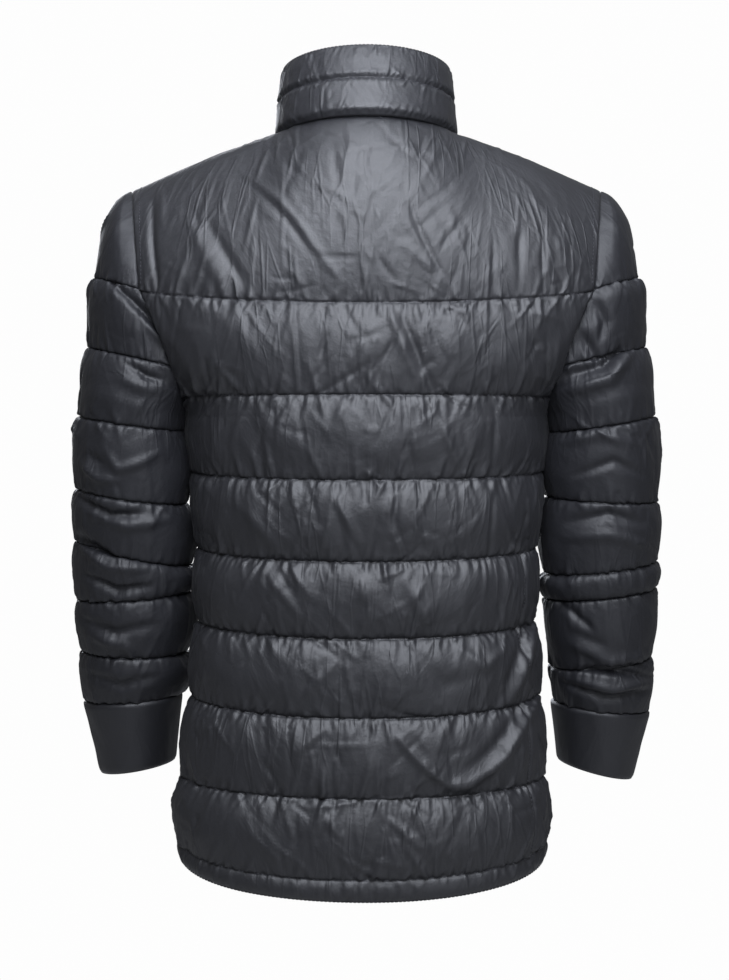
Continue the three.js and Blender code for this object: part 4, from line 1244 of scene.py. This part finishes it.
@dataclass
class Cuff:
    """A plain smooth band below the sleeve's last stitched line."""

    side: Side
    step: float = 3.0
    girth: float = 270.0
    depth: float = 72.0
    wall: float = 3.0
    flare: float = 7.0

    def build(self) -> bpy.types.Object:
        """Makes the band as a closed wall with faint creases."""
        name = f"cuff_{self.side.name.lower()}_band"
        columns = np.linspace(0, 1, round(self.girth / self.step) + 1)
        courses = np.linspace(0, 1, round(self.depth / self.step) + 1)
        share, down = np.meshgrid(columns, courses)
        base = SleeveCut.ring(self.side, CUFF_LINE + down, share)
        base[0, :, 2] -= SEAM_GAP
        centre_x = sleeve_line("x", CUFF_LINE + down)
        centre_y = sleeve_line("y", CUFF_LINE + down)
        outward = unit(stack(base[..., 0] - centre_x, base[..., 1] - centre_y, 0.0 * centre_x))
        mirror = np.array((self.side.value, 1, 1))
        edge = np.minimum(down, 1 - down) * self.depth
        rounding = 1 - 0.45 * np.exp(-edge / 1.6)
        around = share * self.girth
        seed = 60 + self.side.value
        ripple = lattice_noise(share * 16, down * 2, seed) - 0.5
        ripple += 0.7 * (lattice_noise(share * 32, down * 5 + share * 8, seed + 2) - 0.5)
        ripple *= np.clip(np.minimum(share, 1 - share) * 12, 0, 1) * np.clip(edge / 6, 0, 1)
        crease = np.exp(-((around - self.girth * 0.2 - 24 * down) / 3.0) ** 2) * np.sin(np.pi * down)
        wall = self.wall + self.flare * (1 - down) ** 1.2
        outer = base + outward * (wall * rounding + 1.2 * ripple + 0.5 * crease)[..., None]
        sheet = PadSheet(name, base * mirror, outward * mirror, base[..., 2], share < 0, courses, columns,
                         np.array((0, len(courses) - 1)), wraps=True, open_until=0.0)
        return WallBuilder(coarse=4).build(sheet, outer * mirror)


@dataclass
class Stitching:
    """Thread sewn along lines: a short raised dash for each stitch, sunk a little into the cloth."""

    stitch: float = 2.6
    gap: float = 1.2
    thread: float = 0.55

    def build(self, name: str, lines: list[tuple[np.ndarray, np.ndarray]]) -> bpy.types.Object:
        """Makes the stitches of one piece.

        Args:
            name: the object's name.
            lines: places along each line, in millimetres, and directions out of the cloth there.

        Returns:
            The stitches as one object.
        """
        bm = bmesh.new()
        for points, outward in lines:
            lengths = line_lengths(points)
            for start in np.arange(self.gap, lengths[-1] - self.stitch, self.stitch + self.gap):
                ends = [place_along(points, lengths, start + part) for part in (0.0, self.stitch)]
                self._add(bm, ends, place_along(outward, lengths, start))
        return add_piece(name, bm, smooth=True)

    def _add(self, bm: bmesh.types.BMesh, ends: list[Vector], outward: Vector) -> None:
        """Adds one stitch between two places."""
        along = ends[1] - ends[0]
        middle = (ends[0] + ends[1]) / 2 + outward.normalized() * 0.3
        turn = along.to_track_quat("Z", "Y").to_matrix().to_4x4()
        place = Matrix.Translation(middle * MM) @ turn
        size = Matrix.Diagonal((self.thread * MM, self.thread * MM, along.length * MM, 1.0))
        bmesh.ops.create_cone(bm, cap_ends=True, segments=5, radius1=0.5, radius2=0.5, depth=1.0,
                              matrix=place @ size)


@dataclass
class ZipTeeth:
    """Moulded teeth of one side of the front zip, in place of the solid's plain bar."""

    side: Side
    pitch: float = 2.6
    length: float = 3.3
    thick: float = 2.8
    height: float = 1.7
    overlap: float = 0.4

    def build(self) -> bpy.types.Object:
        """Makes the row of teeth up the zip's line."""
        label = self.side.name.lower()
        path = self._path(f"zip_teeth_{label}")
        lengths = line_lengths(path)
        bm = bmesh.new()
        first = self.pitch * (0.75 if self.side is Side.LEFT else 1.25)
        for distance in np.arange(first, lengths[-1] - self.pitch, self.pitch):
            here, ahead = (place_along(path, lengths, distance + step) for step in (0.0, 1.0))
            rise = (ahead - here).normalized()
            centre = here + Vector((self.side.value * (self.length / 2 - self.overlap), 0, 0))
            turn = rise.to_track_quat("Z", "Y").to_matrix().to_4x4()
            size = Matrix.Diagonal((self.length * MM, self.thick * MM, self.height * MM, 1.0))
            bmesh.ops.create_cube(bm, size=1.0, matrix=Matrix.Translation(centre * MM) @ turn @ size)
        bmesh.ops.bevel(bm, geom=bm.edges[:], offset=0.35 * MM, segments=1, affect="EDGES")
        return add_piece(f"zip_teeth_{label}_moulded", bm)

    @staticmethod
    def _path(node: str) -> np.ndarray:
        """Middle line of the solid's bar, from the hem to the collar, in millimetres."""
        corners = np.array([vertex.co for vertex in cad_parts[node].data.vertices]) / MM
        inner = corners[np.abs(corners[:, 0]) < np.abs(corners[:, 0]).min() + 0.5]
        levels = np.array(sorted({round(float(z), 1) for z in inner[:, 2]}))
        path = np.array([inner[np.abs(inner[:, 2] - level) < 1.5].mean(axis=0) for level in levels])
        path[:, 0] = 0.0
        return path[np.concatenate(((True,), np.diff(path[:, 2]) > 2.0))]


class NodeBuilder:
    """Short words for making and joining shader nodes in one tree."""

    def __init__(self, tree: bpy.types.NodeTree) -> None:
        """Keeps the tree that nodes are added to."""
        self.tree = tree

    def add(self, kind: str, **values: object) -> bpy.types.Node:
        """Adds a node and sets its properties and plain inputs.

        Args:
            kind: the node's type name without its ShaderNode prefix.
            values: properties, or inputs by name with spaces as underscores.

        Returns:
            The node.
        """
        node = self.tree.nodes.new("ShaderNode" + kind)
        for name, value in values.items():
            if hasattr(node, name):
                setattr(node, name, value)
            else:
                node.inputs[name.replace("_", " ")].default_value = value
        return node

    def join(self, source: bpy.types.NodeSocket, target: bpy.types.NodeSocket) -> None:
        """Joins an output to an input."""
        self.tree.links.new(source, target)

    def reckon(self, operation: str, first: bpy.types.NodeSocket,
               second: bpy.types.NodeSocket) -> bpy.types.NodeSocket:
        """Joins two values by one sum or product and gives its result."""
        node = self.add("Math", operation=operation)
        self.join(first, node.inputs[0])
        self.join(second, node.inputs[1])
        return node.outputs[0]


class SharedEffect:
    """A group of nodes that several materials share: it gives a height."""

    NAME = ""

    @classmethod
    def get(cls) -> bpy.types.NodeTree:
        """The group, built on its first use."""
        found = bpy.data.node_groups.get(cls.NAME)
        if found:
            return found
        tree = bpy.data.node_groups.new(cls.NAME, "ShaderNodeTree")
        tree.interface.new_socket("Height", in_out="OUTPUT", socket_type="NodeSocketFloat")
        build = NodeBuilder(tree)
        build.join(cls._height(build), tree.nodes.new("NodeGroupOutput").inputs["Height"])
        return tree

    @classmethod
    def _height(cls, build: NodeBuilder) -> bpy.types.NodeSocket:
        """The effect's height."""
        raise NotImplementedError


class CreaseGroup(SharedEffect):
    """Fine crossed creases of thin slippery cloth, in patches, over the cloth's own lengths."""

    NAME = "thin cloth creases"
    CELLS = ((0.5, 24.0, 0.5), (-0.65, 37.0, 0.4), (0.15, 62.0, 0.25))
    STRETCH = 0.28

    @classmethod
    def _height(cls, build: NodeBuilder) -> bpy.types.NodeSocket:
        """Adds up the ridges of three sizes of cell, then a soft unevenness."""
        cloth = build.add("UVMap", uv_map="cloth").outputs["UV"]
        patches = build.add("TexNoise", Scale=14.0, Detail=1.0)
        build.join(cloth, patches.inputs["Vector"])
        patchy = build.add("MapRange", From_Min=0.4, From_Max=0.62)
        build.join(patches.outputs["Fac"], patchy.inputs["Value"])
        total = None
        for turn, size, weight in cls.CELLS:
            mapping = build.add("Mapping", Rotation=(0, 0, turn), Scale=(size, size * cls.STRETCH, 1))
            cells = build.add("TexVoronoi", feature="DISTANCE_TO_EDGE", Scale=1.0, Randomness=1.0)
            build.join(cloth, mapping.inputs["Vector"])
            build.join(mapping.outputs["Vector"], cells.inputs["Vector"])
            ridge = cls._ridge(build, cells.outputs["Distance"], weight)
            total = ridge if total is None else build.reckon("ADD", total, ridge)
        masked = build.reckon("MULTIPLY", total, patchy.outputs["Result"])
        soft = build.add("TexNoise", Scale=70.0, Detail=3.0, Roughness=0.55)
        build.join(cloth, soft.inputs["Vector"])
        softened = build.add("Math", operation="MULTIPLY_ADD")
        softened.inputs[1].default_value = 0.9
        build.join(soft.outputs["Fac"], softened.inputs[0])
        build.join(masked, softened.inputs[2])
        return softened.outputs[0]

    @staticmethod
    def _ridge(build: NodeBuilder, edge: bpy.types.NodeSocket, weight: float) -> bpy.types.NodeSocket:
        """Turns the distance from a cell's edge into a narrow ridge along it."""
        ridge = build.add("MapRange", interpolation_type="SMOOTHSTEP", From_Max=0.08, To_Min=weight,
                          To_Max=0.0)
        build.join(edge, ridge.inputs["Value"])
        return ridge.outputs["Result"]


class WeaveGroup(SharedEffect):
    """Plain close weave over object coordinates."""

    NAME = "plain weave"
    THREADS = 480.0

    @classmethod
    def _height(cls, build: NodeBuilder) -> bpy.types.NodeSocket:
        """Crosses two runs of threads."""
        place = build.add("TexCoord").outputs["Object"]
        waves = [build.add("TexWave", bands_direction=way, Scale=cls.THREADS) for way in "XZ"]
        for wave in waves:
            build.join(place, wave.inputs["Vector"])
        return build.reckon("MULTIPLY", *(wave.outputs["Fac"] for wave in waves))


@dataclass(frozen=True)
class Finish:
    """A finish with slightly uneven colour and gloss."""

    name: str
    colour: tuple[float, float, float]
    roughness: float

    def material(self) -> bpy.types.Material:
        """The material, built on its first use."""
        found = bpy.data.materials.get(self.name)
        if found:
            return found
        made = bpy.data.materials.new(self.name)
        made.use_nodes = True
        self._dress(NodeBuilder(made.node_tree), made.node_tree.nodes["Principled BSDF"])
        return made

    def _dress(self, build: NodeBuilder, shader: bpy.types.Node) -> None:
        """Adds the finish's nodes."""
        raise NotImplementedError

    def _uneven(self, build: NodeBuilder, shader: bpy.types.Node, grain: tuple[float, float], tone: float,
                gloss: tuple[float, float]) -> bpy.types.NodeSocket:
        """Joins one noise to the colour and the gloss.

        Args:
            build: the material's nodes.
            shader: its shader.
            grain: scale and detail of the noise.
            tone: share by which the colour darkens and lightens.
            gloss: least and greatest change of the roughness.

        Returns:
            The noise.
        """
        noise = build.add("TexNoise", Scale=grain[0], Detail=grain[1], Roughness=0.6)
        build.join(build.add("TexCoord").outputs["Object"], noise.inputs["Vector"])
        ramp = build.add("ValToRGB")
        for stop, share in zip(ramp.color_ramp.elements, (1 - tone, 1 + tone)):
            stop.color = tuple(channel * share for channel in self.colour) + (1.0,)
        rough = build.add("MapRange", To_Min=self.roughness + gloss[0], To_Max=self.roughness + gloss[1])
        build.join(noise.outputs["Fac"], ramp.inputs["Fac"])
        build.join(noise.outputs["Fac"], rough.inputs["Value"])
        build.join(ramp.outputs["Color"], shader.inputs["Base Color"])
        build.join(rough.outputs["Result"], shader.inputs["Roughness"])
        return noise.outputs["Fac"]


@dataclass(frozen=True)
class NylonFinish(Finish):
    """Semi-gloss woven nylon of the shell, with fine creases over a plain close weave."""

    name: str = "charcoal nylon"
    colour: tuple[float, float, float] = (0.0135, 0.0138, 0.0165)
    roughness: float = 0.5
    gloss: float = 0.62
    crease_depth: float = 0.001
    weave_depth: float = 0.00006

    def _dress(self, build: NodeBuilder, shader: bpy.types.Node) -> None:
        """Uneven dye and gloss, a little sheen, and the relief."""
        shader.inputs["Specular IOR Level"].default_value = self.gloss
        shader.inputs["Sheen Weight"].default_value = 0.02
        shader.inputs["Sheen Roughness"].default_value = 0.4
        self._uneven(build, shader, (9.0, 4.0), 0.14, (-0.05, 0.07))
        self._relief(build, shader)

    def _relief(self, build: NodeBuilder, shader: bpy.types.Node) -> None:
        """Fine creases over a plain close weave."""
        weave = build.add("Group", node_tree=WeaveGroup.get())
        weave_bump = build.add("Bump", Distance=self.weave_depth, Strength=0.5)
        build.join(weave.outputs["Height"], weave_bump.inputs["Height"])
        creases = build.add("Group", node_tree=CreaseGroup.get())
        crease_bump = build.add("Bump", Distance=self.crease_depth, Strength=1.0)
        build.join(creases.outputs["Height"], crease_bump.inputs["Height"])
        build.join(weave_bump.outputs["Normal"], crease_bump.inputs["Normal"])
        build.join(crease_bump.outputs["Normal"], shader.inputs["Normal"])


@dataclass(frozen=True)
class TrimFinish(Finish):
    """A finish of the zip or the thread, with a fine relief."""

    metallic: float = 0.0
    speck: float = 220.0
    woven: bool = False
    relief: float = 0.00008

    def _dress(self, build: NodeBuilder, shader: bpy.types.Node) -> None:
        """Uneven colour and gloss, and the relief of a weave or a grain."""
        shader.inputs["Metallic"].default_value = self.metallic
        grain = self._uneven(build, shader, (self.speck, 3.0), 0.28, (-0.1, 0.1))
        bump = build.add("Bump", Distance=self.relief, Strength=0.7)
        weave = build.add("Group", node_tree=WeaveGroup.get()) if self.woven else None
        build.join(weave.outputs["Height"] if weave else grain, bump.inputs["Height"])
        build.join(bump.outputs["Normal"], shader.inputs["Normal"])


TAPE_FINISH = TrimFinish("zip tape", (0.016, 0.016, 0.018), 0.8, woven=True, relief=0.0002)
TEETH_FINISH = TrimFinish("moulded teeth", (0.02, 0.02, 0.022), 0.42)
METAL_FINISH = TrimFinish("dark zip metal", (0.16, 0.16, 0.17), 0.36, metallic=1.0)
THREAD_FINISH = TrimFinish("sewing thread", (0.035, 0.035, 0.042), 0.6, speck=900.0)
NYLON = NylonFinish()
# The sleeves take a copy of the same nylon with a lower gloss as painted shade: it darkens them where the
# arms turn down, away from the light.
SHADED_SLEEVE_NYLON = NylonFinish(name="sleeve charcoal nylon", gloss=0.41)
SMOOTH_NYLON = NylonFinish(name="smooth charcoal nylon", gloss=0.53, crease_depth=0.00025)

CARRIED_OVER = {
    "zip_tape_left": TAPE_FINISH,
    "zip_tape_right": TAPE_FINISH,
    "zip_slider": METAL_FINISH,
    "zip_pull": METAL_FINISH,
}


@dataclass
class Studio:
    """Plain pale floor, soft light and the camera at the photo's angle."""

    distance: float = 2.0
    eye_z: float = -0.240
    centre_x: float = 0.002
    shift: float = -0.1122
    lens: float = 75.75
    floor_z: float = -1.45
    room_light: float = 0.15
    paper_white: float = 0.985

    def build(self) -> None:
        """Makes the floor, the lights and the camera."""
        self._floor()
        self._lights()
        self._camera()

    def _floor(self) -> None:
        """Wide round floor."""
        bm = bmesh.new()
        bmesh.ops.create_circle(bm, cap_ends=True, segments=96, radius=40.0)
        bmesh.ops.translate(bm, verts=bm.verts, vec=(0, 0, self.floor_z))
        floor = add_piece("floor", bm)
        paper = bpy.data.materials.new("pale floor")
        paper.use_nodes = True
        shader = paper.node_tree.nodes["Principled BSDF"]
        shader.inputs["Base Color"].default_value = (0.5, 0.5, 0.5, 1)
        shader.inputs["Roughness"].default_value = 0.9
        exit_node = paper.node_tree.nodes["Material Output"]
        self._seen_white(paper.node_tree, "Emission", shader.outputs[0], exit_node.inputs["Surface"])
        floor.data.materials.append(paper)

    def _lights(self) -> None:
        """Dim pale surroundings that look white, a large soft light above and a weak fill."""
        world = bpy.data.worlds.new("pale room")
        world.use_nodes = True
        room = world.node_tree.nodes["Background"]
        room.inputs["Color"].default_value = (1, 1, 1, 1)
        room.inputs["Strength"].default_value = self.room_light
        exit_node = world.node_tree.nodes["World Output"]
        self._seen_white(world.node_tree, "Background", room.outputs[0], exit_node.inputs["Surface"])
        bpy.context.scene.world = world
        bpy.context.scene.view_settings.view_transform = "Standard"
        self._area("soft light", (-0.12, 1.0, 0.57), (0.0, 0.0, -0.1), 1.3, 37.0)
        self._area("overhead light", (0.0, 0.2, 1.9), (0.0, 0.0, 0.0), 2.4, 24.0)
        self._area("low fill", (-0.9, 1.5, -0.9), (0.0, 0.0, -0.5), 0.7, 3.0)
        self._area("front light", (0.5, -2.4, 0.2), (0.0, 0.0, -0.3), 1.6, 30.0)
        self._area("collar light", (0.3, 1.6, 0.45), (0.06, 0.0, 0.04), 0.4, 0.2, 18.0)

    def _seen_white(self, tree: bpy.types.NodeTree, kind: str, lit: bpy.types.NodeSocket,
                    surface: bpy.types.NodeSocket) -> None:
        """Shows the camera plain white and everything else the lit shader.

        Args:
            tree: the nodes of the floor's material or of the room.
            kind: the kind of node that glows.
            lit: the shader that lights the jacket.
            surface: the input that takes the mixture.
        """
        build = NodeBuilder(tree)
        white = build.add(kind, Color=(1, 1, 1, 1), Strength=self.paper_white)
        mix = build.add("MixShader")
        build.join(build.add("LightPath").outputs["Is Camera Ray"], mix.inputs[0])
        build.join(lit, mix.inputs[1])
        build.join(white.outputs[0], mix.inputs[2])
        build.join(mix.outputs[0], surface)

    @staticmethod
    def _area(name: str, place: tuple[float, float, float], target: tuple[float, float, float], size: float,
              power: float, spread: float = 180.0) -> None:
        """Adds a round area light that looks at a target.

        Args:
            name: its name.
            place: where it hangs, in metres.
            target: the point that it looks at.
            size: its width.
            power: its watts.
            spread: the angle of its beam, in degrees.
        """
        light = bpy.data.lights.new(name, "AREA")
        light.shape = "DISK"
        light.size = size
        light.energy = power
        light.spread = math.radians(spread)
        light.color = (0.87, 0.91, 1.0)
        holder = bpy.data.objects.new(name, light)
        holder.location = place
        holder.visible_camera = False
        towards = Vector(target) - Vector(place)
        holder.rotation_euler = towards.to_track_quat("-Z", "Y").to_euler()
        bpy.context.scene.collection.objects.link(holder)

    def _camera(self) -> None:
        """The photo's viewpoint, behind the jacket."""
        data = bpy.data.cameras.new("photo view")
        data.lens = self.lens
        data.sensor_width = 36.0
        data.shift_y = self.shift
        data.clip_end = 200.0
        camera = bpy.data.objects.new("photo view", data)
        camera.location = (self.centre_x, self.distance, self.eye_z)
        camera.rotation_euler = (math.radians(90), 0, math.radians(180))
        bpy.context.scene.collection.objects.link(camera)
        bpy.context.scene.camera = camera


def hand_over(piece: bpy.types.Object, finish: Finish, node: str = "") -> None:
    """Gives a made piece its finish, body and slot, and hides the solid that it replaces.

    Args:
        piece: the piece.
        finish: its finish.
        node: the solid that it replaces, or nothing.
    """
    piece.data.materials.append(finish.material())
    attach(piece, BODY)
    if node:
        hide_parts(node)
    LOG.info("%s: %d vertices", piece.name, len(piece.data.vertices))


def sewn_lines(node: str, fine: PadSheet, outer: np.ndarray) -> list[tuple[np.ndarray, np.ndarray]]:
    """Lines of a padded piece that carry thread.

    Args:
        node: the piece's solid.
        fine: its cloth.
        outer: its outer points.

    Returns:
        The places along each line, and the directions out of the cloth there.
    """
    inside = fine.breaks[1:-1] if fine.wraps else fine.breaks[1:]
    lines = [(outer[row], fine.normals[row]) for row in inside]
    if node == "back_panel":
        hole = slice(fine.breaks[0] + 8, fine.breaks[1] - 4)
        lines += [(outer[hole, column], fine.normals[hole, column]) for column in (3, -4)]
        low, seam = slice(fine.breaks[4], fine.breaks[8]), int(np.searchsorted(fine.columns, BACK_SEAM))
        lines.append((outer[low, seam], fine.normals[low, seam]))
    return lines


def build_pads() -> None:
    """Makes the padded pieces and their thread."""
    pads = {
        "back_panel": BodyPanel("back_padded", Face.BACK, -1.0, 1.0),
        "front_left": BodyPanel("front_left_padded", Face.FRONT, 0.0, 1.0),
        "front_right": BodyPanel("front_right_padded", Face.FRONT, -1.0, 0.0),
        "sleeve_left": Sleeve("sleeve_left_padded", Side.LEFT, touching_low=21.0),
        "sleeve_right": Sleeve("sleeve_right_padded", Side.RIGHT, touching_low=6.0),
        "collar": Collar(),
    }
    on_body = {"crease_count": 320, "folds": FRONT_FOLDS}
    on_sleeve = {"crease_count": 170, "pleat": 2.6, "pillow": 3.4}
    gathers = {
        "back_panel": Gathers(3, crease_count=950, side_seam=BACK_SEAM, folds=BACK_FOLDS),
        "front_left": Gathers(23, **on_body),
        "front_right": Gathers(43, **on_body),
        "sleeve_left": Gathers(63, **on_sleeve, folds=LEFT_SLEEVE_FOLDS),
        "sleeve_right": Gathers(83, **on_sleeve, folds=RIGHT_SLEEVE_FOLDS),
        "collar": Gathers(103, crease_count=60, below_height=1.0, above_height=1.0, pleat=2.0, crease=0.6,
                          crease_lean=1.6, seam_depth=0.6, pillow=0.0, overhang=0.3, spacing=3.4,
                          long_pleat=8.0),
    }
    coarse = {node: pad.sheet(SIMULATED_STEP) for node, pad in pads.items()}
    settled = Settling().run(list(coarse.values()))
    for node, pad in pads.items():
        fine = pad.sheet(pad.fine_step, FINE_CROWD)
        outer = gathers[node].dress(fine, fine.settled_on(coarse[node], settled[pad.name]))
        piece = WallBuilder().build(fine, outer)
        hand_over(piece, SHADED_SLEEVE_NYLON if isinstance(pad, Sleeve) else NYLON, node)
        thread = Stitching().build(f"{node}_thread", sewn_lines(node, fine, outer))
        hand_over(thread, THREAD_FINISH)


def build_pairs() -> None:
    """Makes the cuffs and the zip's teeth, and gives the solids that are kept their finishes."""
    for side in Side:
        label = side.name.lower()
        cuff = Cuff(side).build()
        hand_over(cuff, SMOOTH_NYLON, f"cuff_{label}")
        hand_over(ZipTeeth(side).build(), TEETH_FINISH, f"zip_teeth_{label}")
    for node, finish in CARRIED_OVER.items():
        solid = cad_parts[node]
        solid.data.materials.clear()
        solid.data.materials.append(finish.material())
        LOG.info("%s: kept as it is", node)


def main() -> None:
    """Builds the jacket's pieces in order, then the studio."""
    logging.basicConfig(level=logging.INFO, format="%(message)s")
    build_pads()
    build_pairs()
    Studio().build()


if __name__ == "__main__":
    main()
